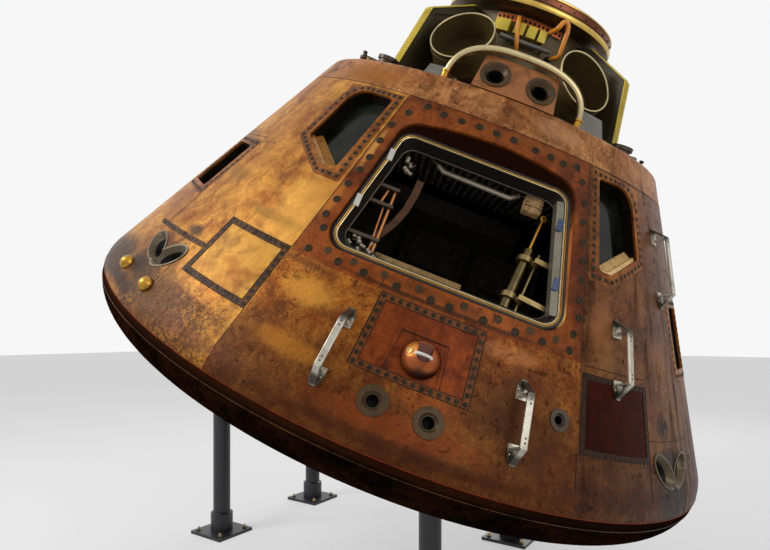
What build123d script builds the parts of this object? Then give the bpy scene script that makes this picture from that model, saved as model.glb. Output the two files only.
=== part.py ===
from build123d import *
from math import atan2, cos, degrees, hypot, radians, sin, sqrt, tan
import os

# A blunt-base space capsule, leaning on a four-post display stand.
# Capsule axes: origin at the lowest point of the base, +Z towards the nose, -Y out through the hatch.
# An angle round the capsule is counted from the hatch, positive towards the viewer's right.
# Sizes are in millimetres and degrees.

# Outer form
MAX_RADIUS = 1955.8
BASE_SPHERE = 4693.9
CORNER_RADIUS = 195.6
CONE_ANGLE = 32.5
SEAM_HEIGHT = 578
CROWN_HEIGHT = 2054
CROWN_BAND_WIDTH = 139
CROWN_EDGE = 34
WALL = 120
BASE_WALL = 70
CLEAR = 0.3

# Panels of the cone
SURROUND_ANGLE = 23.4
SURROUND_BORDER = 80
BACK_ANGLE = 150
PLATE = 12
PLATE_GAP = 3

# Hatch opening
HATCH_ANGLE = 20.6
HATCH_LOW = 1190
HATCH_DROP = 82
HATCH_CORNER = 90
REVEAL_SIDE = 18
REVEAL_LOW = 27
REVEAL_HIGH = 14
RIM_DEPTH = 100
RIM_LENGTH = 64
RIM_WIDTH = 26

# Windows on the right-hand side: corners as (angle, drop below the crown band) pairs
FORWARD_FRAME = [(24.2, 15), (41.3, 15), (41.6, 340), (30.0, 483), (24.2, 483)]
FORWARD_SIGHT = [(26.4, 43), (38.6, 37), (39.0, 323), (30.4, 431), (26.8, 431)]
SIDE_FRAME = [(51.0, 437), (67.4, 437), (66.6, 793), (52.0, 793)]
SIDE_SIGHT = [(54.2, 477), (65.0, 477), (64.6, 750), (54.6, 750)]
GLASS = 14
GLASS_DEPTH = 78
SIGHT_CORNER = 26

# Access panels: first angle, last angle, low edge, high edge
ACCESS_LEFT = (-36.6, -24.4, 842, 1118)
ACCESS_RIGHT = (24.4, 37.8, 800, 1076)
SERVICE_PANEL = (-7.8, 7.8, 836, 1101)
SERVICE_DOOR = (-3.2, 3.2, 862, 1010)
SERVICE_CENTRE = (0.4, 935)
COVER_RADIUS = 82
COVER_CUP = 40
COVER_RISE = 60
COVER_SLOT = (62, 72)
BAIL_RADIUS = 5

# Round ports and thrusters
PORT_ANGLES = (-3.2, 3.7)
PORT_HEIGHT = 750
PORT_RADIUS = 62
PORT_BORE = 26
PORT_DEPTH = 52
SMALL_PORT = (20.4, 892)
SMALL_PORT_RADIUS = 46
SMALL_PORT_BORE = 19
# Slanting pairs: middle angle, height, distance apart, and how each mouth is turned
THRUSTERS_LEFT = (-44.8, 846, 158, (153, 41))
THRUSTERS_RIGHT = (45.5, 767, 184, (146, 34))
THRUSTERS_SIDE = ((88.0, 800), (93.4, 800))
SCARF = (108, 54)
SCARF_THROAT = (42, 24)
SCARF_DEPTH = 48
NOZZLE_RADIUS = 48
NOZZLE_DEPTH = 96
NOZZLE_WALL = 8
DOMES = ((-49.8, 706), (-40.7, 706))
DOME_RADIUS = 38

# Handrails: angle, low end, high end
HANDRAILS = {
    "handrail_left": (-10.3, 713, 1006),
    "handrail_center": (14.4, 701, 990),
    "handrail_right": (31.0, 1010, 1311),
    "handrail_upper": (48.0, 1416, 1764),
}
RAIL_STANDOFF = 66
RAIL_WIDTH = 30
RAIL_THICK = 14
BRACKET = (56, 70, 6)
BRACKET_RIB = 8

# Forward compartment: heights above the crown, drops below the tunnel's top, insets from the crown's rim
DECK = 40
TUNNEL_RADIUS = 382
TUNNEL_WALL = 14
TUNNEL_DEEP = 94
TUNNEL_RISE = 546
LEDGE_WIDTH = 30
LEDGE_THICK = 14
RING_RADIUS = 500
RING_HEIGHT = 105
RING_STEP = 4
GUSSET_ANGLE = 49
GUSSET_KNEE = (292, 160)
GUSSET_THICK = 34
GUSSET_WEB = 12
GUSSET_DROP = 20
GUSSET_RIM = 30
WELL_INSET = 152
WELL_HEIGHT = 66
WELL_OUTER = 54
WELL_BORE = 34
WELL_BASE = 14
MORTAR_MOUTH = (339, 459, 297)
MORTAR_TURN = 45
MORTAR_TILT = 46
MORTAR_RADIUS = 176
MORTAR_WALL = 7
MORTAR_LIP = 6
MORTAR_LIFT = 22
MORTAR_SADDLE = 60
BLOCK_HALF = 204
BLOCK_RISE = 170
BLOCK_DEPTH = 190
BLOCK_NOZZLES = ((-118, 84), (118, 84))
BLOCK_BELL = 72
BLOCK_THROAT = 36
BLOCK_BELL_DEPTH = 38
BLOCK_BORE_DEPTH = 110
CROWN_PLATES = ((-27.5, -22.0, 64), (22.2, 31.5, 106))
CROWN_PLATE_DEPTH = 60
CROWN_PLATE_THICK = 6
PADS = ((-28, -17), (-13, -5.5), (-3.5, 3), (5, 10.5))
PAD_BAND = (112, 54)
TUNNEL_PAD_THICK = 62
RAIL_DROP = 138
RAIL_SPAN = (-21, 17)
RAIL_REACH = 62
RAIL_TUBE = 13
HOSE_RADIUS = 12.5
# Hose routes: angle, reach from the tunnel's wall, height against the tunnel's top
HOSE_NEAR = [(-12.5, -40, -30), (-12.5, 84, -30), (-6, 84, -195), (-6, -40, -195)]
HOSE_FAR = [
    (12.5, -40, -48), (12.5, 146, -44), (15.5, 146, 40),
    (18.5, 146, -44), (20.5, 128, -160), (20.5, -40, -160),
]
HOSE_BENDS = (44, 20)
GUARD_FOOT = (336, 129)
GUARD_SHOULDER = (215, 132, 182)
GUARD_CROWN = (0, 112, 208)
GUARD_RADIUS = 15

# Cabin
FLOOR_HEIGHT = 640
FLOOR = 30
# Near edge of the panel: in from the wall, and below the crown band
PANEL_NEAR = (198, 180)
PANEL_RUN = (750, -145)
PANEL_THICK = 90
COUCH_PITCH = 560
COUCH_WIDTH = 470
COUCH_TUBE = 19
COUCH_BEND = 70
COUCH_BAR = 15
COUCH_PAN = 24
COUCH_LEG = 22
COUCH_HEIGHT = 1010
COUCH_SIDE = [(-1080, 70), (-300, 0), (330, -30), (620, 300)]
COUCH_BARS = [(-1040, 66), (-320, 2), (300, -28)]
LID_DROP = 160
HATCH_LID = 70
LID_CLEAR = 6

# Counterbalance strut on the hatch's own plane: its foot in from the opening's edge, and up the slope
STRUT_FOOT = (212, -252)
STRUT_LEAN = 6
STRUT_DEPTH = 216
STRUT_LENGTH = 505
BARREL_LENGTH = 318
BARREL_RADIUS = 26
BARREL_END = 18
ROD_START = 60
ROD_RADIUS = 9
ROD_RUNNING = 0.05
ROD_EYE = 16
CLAMP_PLACES = (62, 262)
CLAMP_THICK = 14
CLAMP_EDGE = 9
GUIDE_GAP = 54
GUIDE_RADIUS = 7

# Other pieces behind the hatch, on the hatch's own plane
GRAB_BAR = [
    (-256, 368, 235), (-202, 341, 238), (-167, 318, 238),
    (168, 313, 238), (209, 344, 238), (268, 351, 235),
]
GRAB_RADIUS = 12
# Rods of the missing door: in from the opening's edge at the rods' depth, and up the slope
ROD_LONG = [(165, -246), (91, 96)]
ROD_SHORT = [(148, -246), (85, 0)]
ROD_UPPER = [(64, -7), (61, 96)]
ROD_DEPTH = 184
ROD_ARM = 16
ROD_ARMS = (-190, -8, 84)
BAG = (104, 112, 54)
BAG_PLACE = (276, 282)

# Bay and lockers inside the cabin
BAY_HALF = 620
BAY_FACE = [(900, 1180), (990, 1420), (990, 1560)]
LOCKER_X = 880
LOCKER_HALF = 480
LOCKER_HEIGHT = 1060

# Stand
LEAN = 25.5
TURN = 31.1
RIM_CLEARANCE = 500
POSTS = {
    "stand_post_high_near": (-1270, -530),
    "stand_post_high_far": (-1270, 530),
    "stand_post_low_near": (560, -620),
    "stand_post_low_far": (560, 620),
}
POST_RADIUS = 63
SLEEVE_RADIUS = 82
SLEEVE_HEIGHT = 150
PAD_RADIUS = 120
PAD_DEPTH = 46
FOOT = (320, 320, 22)
FOOT_HOLES = 240
FOOT_BORE = 11

# Worked out from the sizes above
SLOPE = radians(CONE_ANGLE)
CORNER_RING = MAX_RADIUS - CORNER_RADIUS
CORNER_Z = BASE_SPHERE - sqrt((BASE_SPHERE - CORNER_RADIUS) ** 2 - CORNER_RING**2)
CONE_FOOT_R = CORNER_RING + CORNER_RADIUS * cos(SLOPE)
CONE_FOOT_Z = CORNER_Z + CORNER_RADIUS * sin(SLOPE)
CROWN_RIM = CONE_FOOT_R - (CROWN_HEIGHT - CONE_FOOT_Z) * tan(SLOPE)
CROWN_BAND = CROWN_HEIGHT - CROWN_BAND_WIDTH
CROWN_TOP = CROWN_HEIGHT + CLEAR
HATCH_HIGH = CROWN_BAND - HATCH_DROP
SURROUND_LOW = HATCH_LOW - SURROUND_BORDER
TUNNEL_FOOT = CROWN_HEIGHT - TUNNEL_DEEP
TUNNEL_TOP = CROWN_HEIGHT + TUNNEL_RISE
WELL_CENTRE = CROWN_RIM - WELL_INSET
HATCH_LID_Z = TUNNEL_TOP - LID_DROP
LOWEST = (
    CORNER_RING * sin(radians(LEAN)) - CORNER_Z * cos(radians(LEAN)) + CORNER_RADIUS
)
CENTRE_SHIFT = CORNER_Z * sin(radians(LEAN))
STANDING = (
    Pos(-CENTRE_SHIFT, 0, LOWEST + RIM_CLEARANCE) * Rot(0, LEAN, 0) * Rot(0, 0, TURN)
)


def cone_radius(z, depth=0):
    """Radius of the cone at a height, or of the surface that lies a depth under it."""
    return CONE_FOOT_R - (z - CONE_FOOT_Z) * tan(SLOPE) - depth / cos(SLOPE)


def cone_point(angle, z, depth=0):
    r = cone_radius(z, depth)
    return Vector(r * sin(radians(angle)), -r * cos(radians(angle)), z)


def on_cone(angle, z, depth=0):
    """Plane on the cone: x round the capsule, y up the slope, z outwards."""
    a = radians(angle)
    out = (sin(a) * cos(SLOPE), -cos(a) * cos(SLOPE), sin(SLOPE))
    return Plane(cone_point(angle, z, depth), x_dir=(cos(a), sin(a), 0), z_dir=out)


def outline(points):
    return make_face(Polyline(*[(r, 0, z) for r, z in points], close=True))


def turned(profile, first=0, last=360):
    """Turn a profile about the capsule's axis from one angle to another."""
    return Rot(0, 0, first - 90) * revolve(profile, Axis.Z, last - first)


def cone_band(low, high, outer=0, inner=WALL):
    """Section of the wall between two heights and two depths."""
    corners = [(low, outer), (high, outer), (high, inner), (low, inner)]
    return outline([(cone_radius(z, depth), z) for z, depth in corners])


def skirt_band(high):
    """Section of the wall from the base seam up, with the rounded corner at its foot."""
    seam = asin_ratio(SEAM_HEIGHT - CORNER_Z, CORNER_RADIUS)
    middle = (seam + SLOPE) / 2
    foot = (CORNER_RING + CORNER_RADIUS * cos(seam), 0, SEAM_HEIGHT)
    bulge = (
        CORNER_RING + CORNER_RADIUS * cos(middle),
        0,
        CORNER_Z + CORNER_RADIUS * sin(middle),
    )
    start = (CONE_FOOT_R, 0, CONE_FOOT_Z)
    rest = [
        start,
        (cone_radius(high), 0, high),
        (cone_radius(high, WALL), 0, high),
        (cone_radius(SEAM_HEIGHT, WALL), 0, SEAM_HEIGHT),
        foot,
    ]
    return make_face([ThreePointArc(foot, bulge, start), Polyline(*rest)])


def asin_ratio(rise, radius):
    return atan2(rise, sqrt(radius**2 - rise**2))


def prism(corners, above, below, rounding=0.0):
    """A block through the wall, drawn by its corners on the cone."""
    angle = sum(a for a, z in corners) / len(corners)
    height = sum(z for a, z in corners) / len(corners)
    plane = on_cone(angle, height)
    flat = [plane.to_local_coords(cone_point(a, z)) for a, z in corners]
    face = make_face(Polyline(*[(p.X, p.Y) for p in flat], close=True))
    if rounding:
        face = fillet(face.vertices(), rounding)
    return plane.location * Pos(0, 0, -below) * extrude(face, above + below)


def window_corners(hand, corners):
    """A window's corners as (angle, height) pairs, on one hand."""
    placed = [(hand * a, CROWN_BAND - drop) for a, drop in corners]
    return placed if hand > 0 else placed[::-1]


def tile(first, last, low, high, outer, inner):
    """A curved plate that follows the cone."""
    return turned(cone_band(low, high, outer, inner), first, last)


def pocket(first, last, low, high, depth):
    """Recess in the wall for a curved plate, a little larger all round."""
    spread = degrees(PLATE_GAP / cone_radius(high))
    low_edge = low - PLATE_GAP
    high_edge = high + PLATE_GAP
    return tile(first - spread, last + spread, low_edge, high_edge, -40, depth)


def bored(plane, radius, depth, above=80):
    return plane.location * Pos(0, 0, (above - depth) / 2) * Cylinder(radius, above + depth)


def rod(start, end, radius):
    """A straight round bar between two points."""
    a, b = Vector(*start), Vector(*end)
    line = Plane(a, z_dir=b - a)
    return line.location * Pos(0, 0, (b - a).length / 2) * Cylinder(radius, (b - a).length)


def bent_tube(points, radius, bend):
    path = FilletPolyline(*points, radius=bend)
    start = Plane(path @ 0, z_dir=path % 0)
    return sweep(start * Circle(radius), path=path)


# Base and crew shell


def base_heat_shield():
    """Dished base with its rounded corner, hollow above."""
    reach = atan2(CORNER_RING, BASE_SPHERE - CORNER_Z)
    seam = asin_ratio(SEAM_HEIGHT - CORNER_Z, CORNER_RADIUS)

    def skin(depth):
        sphere, corner = BASE_SPHERE - depth, CORNER_RADIUS - depth
        joint = (sphere * sin(reach), BASE_SPHERE - sphere * cos(reach))
        mid = (sphere * sin(reach / 2), BASE_SPHERE - sphere * cos(reach / 2))
        turn = (seam - (1.5708 - reach)) / 2
        bulge = (CORNER_RING + corner * cos(turn), CORNER_Z + corner * sin(turn))
        end_r = CORNER_RING + sqrt(corner**2 - (SEAM_HEIGHT - CORNER_Z) ** 2)
        return (0, depth), mid, joint, bulge, (end_r, SEAM_HEIGHT)

    o = [(r, 0, z) for r, z in skin(0)]
    i = [(r, 0, z) for r, z in skin(BASE_WALL)]
    edges = [
        ThreePointArc(o[0], o[1], o[2]),
        ThreePointArc(o[2], o[3], o[4]),
        Line(o[4], i[4]),
        ThreePointArc(i[4], i[3], i[2]),
        ThreePointArc(i[2], i[1], i[0]),
        Line(i[0], o[0]),
    ]
    return turned(make_face(edges))


def frame_plate(frame, outer, inner):
    """Curved plate with a frame's outline, between two depths."""
    angles = [a for a, z in frame]
    heights = [z for a, z in frame]
    sheet = tile(min(angles) - 4, max(angles) + 4, min(heights) - 60, max(heights) + 60, outer, inner)
    return sheet & prism(frame, 200, 120, 8)


def window_recess(frame, sight):
    """What a window takes out of the wall: a seat for its frame and the hole behind."""
    return frame_plate(frame, -40, PLATE), prism(sight, 200, 320, SIGHT_CORNER)


def hatch_half(y, depth):
    """Half width of the hatch opening at a place up the slope and a depth."""
    low, high, low_half, high_half = hatch_corners()
    half = low_half + (high_half - low_half) * (y - low) / (high - low)
    return half - depth * tan(radians(REVEAL_SIDE))


def hatch_corners():
    """Lower and upper edges of the hatch on its plane, and half the width at each."""
    plane = beside_hatch(0, 0, 0)
    flat = []
    for z in (HATCH_LOW, HATCH_HIGH):
        middle = Plane(plane).to_local_coords(cone_point(0, z))
        corner = Plane(plane).to_local_coords(cone_point(HATCH_ANGLE, z))
        flat.append((middle.Y, corner.X - corner.Z * tan(radians(REVEAL_SIDE))))
    return flat[0][0], flat[1][0], flat[0][1], flat[1][1]


def hatch_cutter(depth_from=-60, depth_to=250, inset=0.0):
    """Tapered block that cuts the hatch opening and its slanting reveal."""
    low, high = hatch_corners()[:2]
    sections = []
    for depth in (depth_from, depth_to):
        bottom = low + depth * tan(radians(REVEAL_LOW)) + inset
        top = high - depth * tan(radians(REVEAL_HIGH)) - inset
        wide = hatch_half(bottom, depth) - inset
        slim = hatch_half(top, depth) - inset
        corners = [(-wide, bottom), (wide, bottom), (slim, top), (-slim, top)]
        face = fillet(make_face(Polyline(*corners, close=True)).vertices(), HATCH_CORNER - inset)
        sections.append(beside_hatch(0, 0, depth) * face)
    return loft(sections, ruled=True)


def hatch_surround():
    plate = turned(cone_band(SURROUND_LOW, CROWN_BAND), -SURROUND_ANGLE, SURROUND_ANGLE)
    return plate - hatch_cutter()


def hatch_rim():
    """Pale metal frame at the inner end of the reveal."""
    outer = hatch_cutter(RIM_DEPTH, RIM_DEPTH + RIM_LENGTH, CLEAR)
    inner = hatch_cutter(RIM_DEPTH - 5, RIM_DEPTH + RIM_LENGTH + 5, RIM_WIDTH)
    return outer - inner


def skirt_panel_front():
    panel = turned(skirt_band(SURROUND_LOW), -SURROUND_ANGLE, SURROUND_ANGLE)
    panel -= pocket(*SERVICE_PANEL, PLATE)
    panel -= bored(on_cone(*SERVICE_CENTRE), COVER_RADIUS + CLEAR, COVER_CUP)
    for angle in PORT_ANGLES:
        panel -= bored(on_cone(angle, PORT_HEIGHT), PORT_RADIUS + CLEAR, PORT_DEPTH)
    return panel - bored(on_cone(*SMALL_PORT), SMALL_PORT_RADIUS + CLEAR, PORT_DEPTH)


def shell_side(hand):
    """The wall from the hatch's surround round to the back, on one hand."""
    first, last = sorted((hand * SURROUND_ANGLE, hand * BACK_ANGLE))
    panel = turned(skirt_band(CROWN_BAND), first, last)
    for frame, sight in ((FORWARD_FRAME, FORWARD_SIGHT), (SIDE_FRAME, SIDE_SIGHT)):
        seat, hole = window_recess(window_corners(hand, frame), window_corners(hand, sight))
        panel = panel - seat - hole
    panel -= pocket(*(ACCESS_RIGHT if hand > 0 else ACCESS_LEFT), PLATE)
    panel -= scarfed_bodies(THRUSTERS_RIGHT if hand > 0 else THRUSTERS_LEFT, CLEAR, 80)
    for angle, z in THRUSTERS_SIDE:
        panel -= bored(on_cone(hand * angle, z), NOZZLE_RADIUS + NOZZLE_WALL + CLEAR, NOZZLE_DEPTH)
    return panel


def shell_back():
    return turned(skirt_band(CROWN_BAND), BACK_ANGLE, 360 - BACK_ANGLE)


def shell_crown():
    """Top band of the cone, rounded over at its edge."""
    face = cone_band(CROWN_BAND, CROWN_HEIGHT)
    edge = sorted(face.vertices(), key=lambda v: v.Z)[-2:]
    outer = max(edge, key=lambda v: v.X)
    return turned(fillet(outer, CROWN_EDGE))


# Windows


def window_frame(frame, sight):
    return frame_plate(frame, 0, PLATE - CLEAR) - prism(sight, 220, 300, SIGHT_CORNER)


def window_glass(sight):
    """Pane held in the hole, part way down."""
    angle = sum(a for a, z in sight) / len(sight)
    height = sum(z for a, z in sight) / len(sight)
    plane = on_cone(angle, height, GLASS_DEPTH)
    slab = plane.location * Box(900, 900, GLASS)
    return slab & prism(sight, 200, 320, SIGHT_CORNER)


# Plates, ports and thrusters


def access_panel(first, last, low, high):
    return tile(first, last, low, high, 0, PLATE - CLEAR)


def service_panel():
    panel = access_panel(*SERVICE_PANEL)
    panel -= tile(*SERVICE_DOOR, -5, 4)
    return panel - bored(on_cone(*SERVICE_CENTRE), COVER_RADIUS + CLEAR, COVER_CUP)


def vent_cover():
    """Ball-shaped hood in a round hole, slotted at the top, with a bail across the slot."""
    slot_wide, slot_long = COVER_SLOT
    cup = Pos(0, 0, -COVER_CUP / 2) * Cylinder(COVER_RADIUS, COVER_CUP)
    groove = Cylinder(COVER_RADIUS - 4, COVER_CUP) - Cylinder(COVER_RADIUS - 12, COVER_CUP)
    cup -= Pos(0, 0, -COVER_CUP / 2 + 10) * groove
    sphere = (COVER_RISE**2 + (COVER_RADIUS - 12) ** 2) / (2 * COVER_RISE)
    ball = Pos(0, 0, COVER_RISE - sphere) * Sphere(sphere)
    ball &= Pos(0, 0, COVER_RISE / 2) * Box(300, 300, COVER_RISE)
    slot = Pos(2, slot_long / 2 + 2, COVER_RISE / 2 - 14) * Box(slot_wide, slot_long, COVER_RISE)
    ends = [(-slot_wide / 2 - 1, 0, 20), (-slot_wide / 2 - 1, 2, COVER_RISE + 2)]
    bail = bent_tube(ends + [(-x, y, z) for x, y, z in reversed(ends)], BAIL_RADIUS, 16)
    return on_cone(*SERVICE_CENTRE).location * (cup + ball - slot + bail)


def round_port(angle, z, radius, bore):
    """Turned ring let into the wall, with a dished face."""
    lip = 4
    ring = Pos(0, 0, (lip - PORT_DEPTH) / 2) * Cylinder(radius, PORT_DEPTH + lip)
    dish = Pos(0, 0, 6) * Cone(bore * 1.15, radius * 0.8, 24)
    hole = Pos(0, 0, -14) * Cylinder(bore, 80)
    return on_cone(angle, z).location * (ring - dish - hole)


def scarfed_places(pair):
    """Angle, height and turn of both nozzles of a slanting pair."""
    angle, z, apart, turns = pair
    step = degrees(apart / 2 / cone_radius(z))
    return [(angle + hand * step, z, turn) for hand, turn in zip((-1, 1), turns)]


def scarfed_bodies(pair, margin, above):
    """Oval bodies of a slanting pair of nozzles, or the hole they need."""
    wide, slim = (half + NOZZLE_WALL + margin for half in SCARF)
    body = None
    for angle, z, turn in scarfed_places(pair):
        oval = extrude(Ellipse(wide, slim), above + NOZZLE_DEPTH)
        placed = on_cone(angle, z).location * Pos(0, 0, -NOZZLE_DEPTH) * Rot(0, 0, turn) * oval
        body = placed if body is None else body + placed
    return body


def scarfed_thrusters(pair):
    """Pair of nozzles that leave the wall at a slant, so their mouths are ovals that meet."""
    nozzles = scarfed_bodies(pair, 0, 3)
    for angle, z, turn in scarfed_places(pair):
        mouth = Pos(0, 0, 5) * Ellipse(*SCARF)
        throat = Pos(0, 0, -SCARF_DEPTH) * Ellipse(*SCARF_THROAT)
        flare = loft([throat, mouth], ruled=True)
        neck = Pos(0, 0, 8 - NOZZLE_DEPTH) * extrude(Ellipse(*SCARF_THROAT), NOZZLE_DEPTH)
        nozzles -= on_cone(angle, z).location * Rot(0, 0, turn) * (flare + neck)
    return nozzles


def thruster_pair(places):
    """Bell nozzles let into the wall, cut off along its slope."""
    nozzles = []
    for angle, z in places:
        outer = Pos(0, 0, 4 - NOZZLE_DEPTH / 2) * Cylinder(NOZZLE_RADIUS + NOZZLE_WALL, NOZZLE_DEPTH)
        throat = Pos(0, 0, 6 - NOZZLE_DEPTH / 2 + 10) * Cone(14, NOZZLE_RADIUS, NOZZLE_DEPTH - 16)
        nozzles.append(on_cone(angle, z).location * (outer - throat))
    return nozzles


def side_domes():
    domes = []
    for angle, z in DOMES:
        cap = Sphere(DOME_RADIUS) & Pos(0, 0, DOME_RADIUS / 2) * Box(200, 200, DOME_RADIUS)
        domes.append(on_cone(angle, z, -CLEAR).location * cap)
    return domes


def rail_bracket():
    """Foot of a handrail: tapered plate and an open triangular rib that leans outwards."""
    wide, long, thick = BRACKET
    half = wide / 2
    corners = [(half, -14), (half, long * 0.55), (half * 0.4, long)]
    corners += [(-x, y) for x, y in reversed(corners)]
    plate = extrude(make_face(Polyline(*corners, close=True)), thick)
    top = RAIL_STANDOFF + RAIL_THICK / 2 - CLEAR
    corners = [(0, thick - 1), (0, top), (RAIL_WIDTH * 0.3, top), (long - 6, thick - 1)]
    side = make_face(Polyline(*corners, close=True))
    ring = side - offset(side, -BRACKET_RIB)
    rib = extrude(Plane.YZ * ring, RAIL_WIDTH / 2 - 2, both=True)
    return Pos(0, 0, CLEAR) * (plate + rib)


def handrail(angle, low, high):
    """Flat tube on two brackets, up the slope of the cone."""
    wide, long, thick = BRACKET
    span = (high - low) / cos(SLOPE) - 2 * long
    rail = Pos(0, 0, RAIL_STANDOFF) * Box(RAIL_WIDTH, span + BRACKET_RIB, RAIL_THICK)
    rail = fillet(rail.edges().filter_by(Axis.Y), RAIL_THICK * 0.3)
    for turn in (0, 180):
        rail += Rot(0, 0, turn) * Pos(0, span / 2, 0) * rail_bracket()
    return on_cone(angle, (low + high) / 2).location * rail


# Forward compartment


def forward_deck():
    """Flat deck let in flush with the crown, round the tunnel."""
    inner = TUNNEL_RADIUS + CLEAR
    rim = cone_radius(CROWN_HEIGHT, WALL) - CLEAR
    low = CROWN_HEIGHT - DECK
    return turned(outline([(inner, low), (rim, low), (rim, CROWN_HEIGHT), (inner, CROWN_HEIGHT)]))


def tunnel():
    """Round way through the deck, with the ledge that the hatch closes against."""
    outer, inner = TUNNEL_RADIUS, TUNNEL_RADIUS - TUNNEL_WALL
    ledge = HATCH_LID_Z + HATCH_LID + CLEAR
    section = [
        (outer, TUNNEL_FOOT), (outer, TUNNEL_TOP), (inner, TUNNEL_TOP), (inner, ledge + LEDGE_THICK),
        (inner - LEDGE_WIDTH, ledge + LEDGE_THICK), (inner - LEDGE_WIDTH, ledge),
        (inner, ledge), (inner, TUNNEL_FOOT),
    ]
    return turned(outline(section))


def tunnel_ring():
    """Ring on top of the tunnel, flared out to its outer lip."""
    low, top = TUNNEL_TOP + CLEAR, TUNNEL_TOP + RING_HEIGHT
    bore = TUNNEL_RADIUS - TUNNEL_WALL + RING_STEP
    section = [
        (bore, low), (RING_RADIUS - 30, low), (RING_RADIUS, low + 18), (RING_RADIUS, low + 44),
        (RING_RADIUS - 14, low + 52), (RING_RADIUS - 14, top - 14), (RING_RADIUS - 34, top), (bore, top),
    ]
    return turned(outline(section))


def tunnel_core():
    """All that the tunnel's wall and bore take up, with a running gap."""
    r, top = TUNNEL_RADIUS + CLEAR, TUNNEL_TOP + RING_HEIGHT
    return turned(outline([(0, TUNNEL_FOOT), (r, TUNNEL_FOOT), (r, top), (0, top)]))


def quarter_angles(angle):
    return (-angle, angle, 180 - angle, 180 + angle)


def gussets():
    """Four webs that stand on the deck and hold the tunnel, with a flange on the outer edge."""
    foot, top = CROWN_TOP, TUNNEL_TOP - GUSSET_DROP
    inner = TUNNEL_RADIUS + CLEAR
    outer = WELL_CENTRE - WELL_OUTER - CLEAR
    knee, knee_z = CROWN_RIM - GUSSET_KNEE[0], TUNNEL_TOP - GUSSET_KNEE[1]
    rim = [(outer, foot), (outer, foot + WELL_HEIGHT), (knee, knee_z), (RING_RADIUS - GUSSET_RIM, top)]
    web = outline([(inner, foot), *rim, (inner, top)])
    slim = outline([
        (inner + GUSSET_RIM, foot + GUSSET_RIM), (outer - GUSSET_RIM, foot + GUSSET_RIM),
        (knee - GUSSET_RIM, knee_z - GUSSET_RIM / 2), (inner + GUSSET_RIM, top - GUSSET_RIM),
    ])
    plate = extrude(web, GUSSET_THICK / 2, both=True)
    for hand in (-1, 1):
        plate -= Pos(0, hand * (GUSSET_THICK / 2), 0) * extrude(slim, GUSSET_WEB, both=True)
    plate -= tunnel_core()
    return [Rot(0, 0, a - 90) * plate for a in quarter_angles(GUSSET_ANGLE)]


def leg_wells():
    """Sockets for the four legs of a tower that stood on the nose."""
    well = Pos(0, 0, WELL_HEIGHT / 2) * Cylinder(WELL_OUTER - 8, WELL_HEIGHT)
    well += Pos(0, 0, WELL_HEIGHT - 9) * Cylinder(WELL_OUTER, 18)
    well += Pos(0, 0, 6) * Cylinder(WELL_OUTER, 12)
    well -= Pos(0, 0, WELL_BASE + WELL_HEIGHT / 2) * Cylinder(WELL_BORE, WELL_HEIGHT)
    places = []
    for a in quarter_angles(GUSSET_ANGLE):
        x, y = WELL_CENTRE * sin(radians(a)), -WELL_CENTRE * cos(radians(a))
        places.append(Pos(x, y, CROWN_TOP) * well)
    return places


def mortar(hand):
    """Open can that fired a small parachute, leaning outwards on a saddle."""
    x, inset, rise = MORTAR_MOUTH
    turn, tip = radians(MORTAR_TURN), radians(MORTAR_TILT)
    axis = Vector(hand * sin(turn) * sin(tip), -cos(turn) * sin(tip), cos(tip))
    mouth = Vector(hand * x, inset - CROWN_RIM, CROWN_HEIGHT + rise)
    place = Plane(mouth, z_dir=axis).location
    length = (rise - CLEAR - MORTAR_RADIUS * sin(tip)) / cos(tip) - MORTAR_LIFT
    can = place * Pos(0, 0, -length / 2) * Cylinder(MORTAR_RADIUS, length)
    can += place * Pos(0, 0, -6) * Cylinder(MORTAR_RADIUS + MORTAR_LIP, 12)
    low = mouth - axis * (length - 40)
    out = Vector(axis.X, axis.Y, 0).normalized() * MORTAR_RADIUS * cos(tip)
    saddle = Plane((low.X + out.X, low.Y + out.Y, CROWN_TOP), x_dir=out).location
    can += saddle * Pos(0, 0, MORTAR_SADDLE / 2) * Box(90, 170, MORTAR_SADDLE)
    bore = Cylinder(MORTAR_RADIUS - MORTAR_WALL, length + 40)
    hollow = place * Pos(0, 0, MORTAR_WALL - length / 2 + 20) * bore
    return can - hollow


def crown_angle(x):
    """Angle round the capsule of a point that far across on the crown's rim."""
    return degrees(x / CROWN_RIM)


def nozzle_block():
    """Block that carries two nozzles, in line with the cone below it."""
    half = crown_angle(BLOCK_HALF)
    block = tile(-half, half, CROWN_TOP, CROWN_HEIGHT + BLOCK_RISE, 0, BLOCK_DEPTH)
    for x, rise in BLOCK_NOZZLES:
        place = on_cone(crown_angle(x), CROWN_HEIGHT + rise)
        block -= bored(place, BLOCK_BELL + CLEAR, BLOCK_BELL_DEPTH)
        block -= bored(place, BLOCK_THROAT, BLOCK_BORE_DEPTH)
    return block


def block_nozzles():
    """Two turned nozzles in the block, each a flat-lipped cone down to its throat."""
    bells = []
    for x, rise in BLOCK_NOZZLES:
        bell = Pos(0, 0, 3 - BLOCK_BELL_DEPTH / 2) * Cylinder(BLOCK_BELL, BLOCK_BELL_DEPTH)
        bell -= Pos(0, 0, -8) * Cone(BLOCK_THROAT, BLOCK_BELL * 0.8, 24)
        bell -= Cylinder(BLOCK_THROAT, 4 * BLOCK_BELL_DEPTH)
        bells.append(on_cone(crown_angle(x), CROWN_HEIGHT + rise).location * bell)
    return bells


def crown_plates():
    """Two flat plates that stand on the crown beside the guard tube."""
    plates = []
    for first, last, rise in CROWN_PLATES:
        outer = CROWN_PLATE_DEPTH
        plates.append(tile(first, last, CROWN_TOP, CROWN_HEIGHT + rise, outer, outer + CROWN_PLATE_THICK))
    return plates


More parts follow.
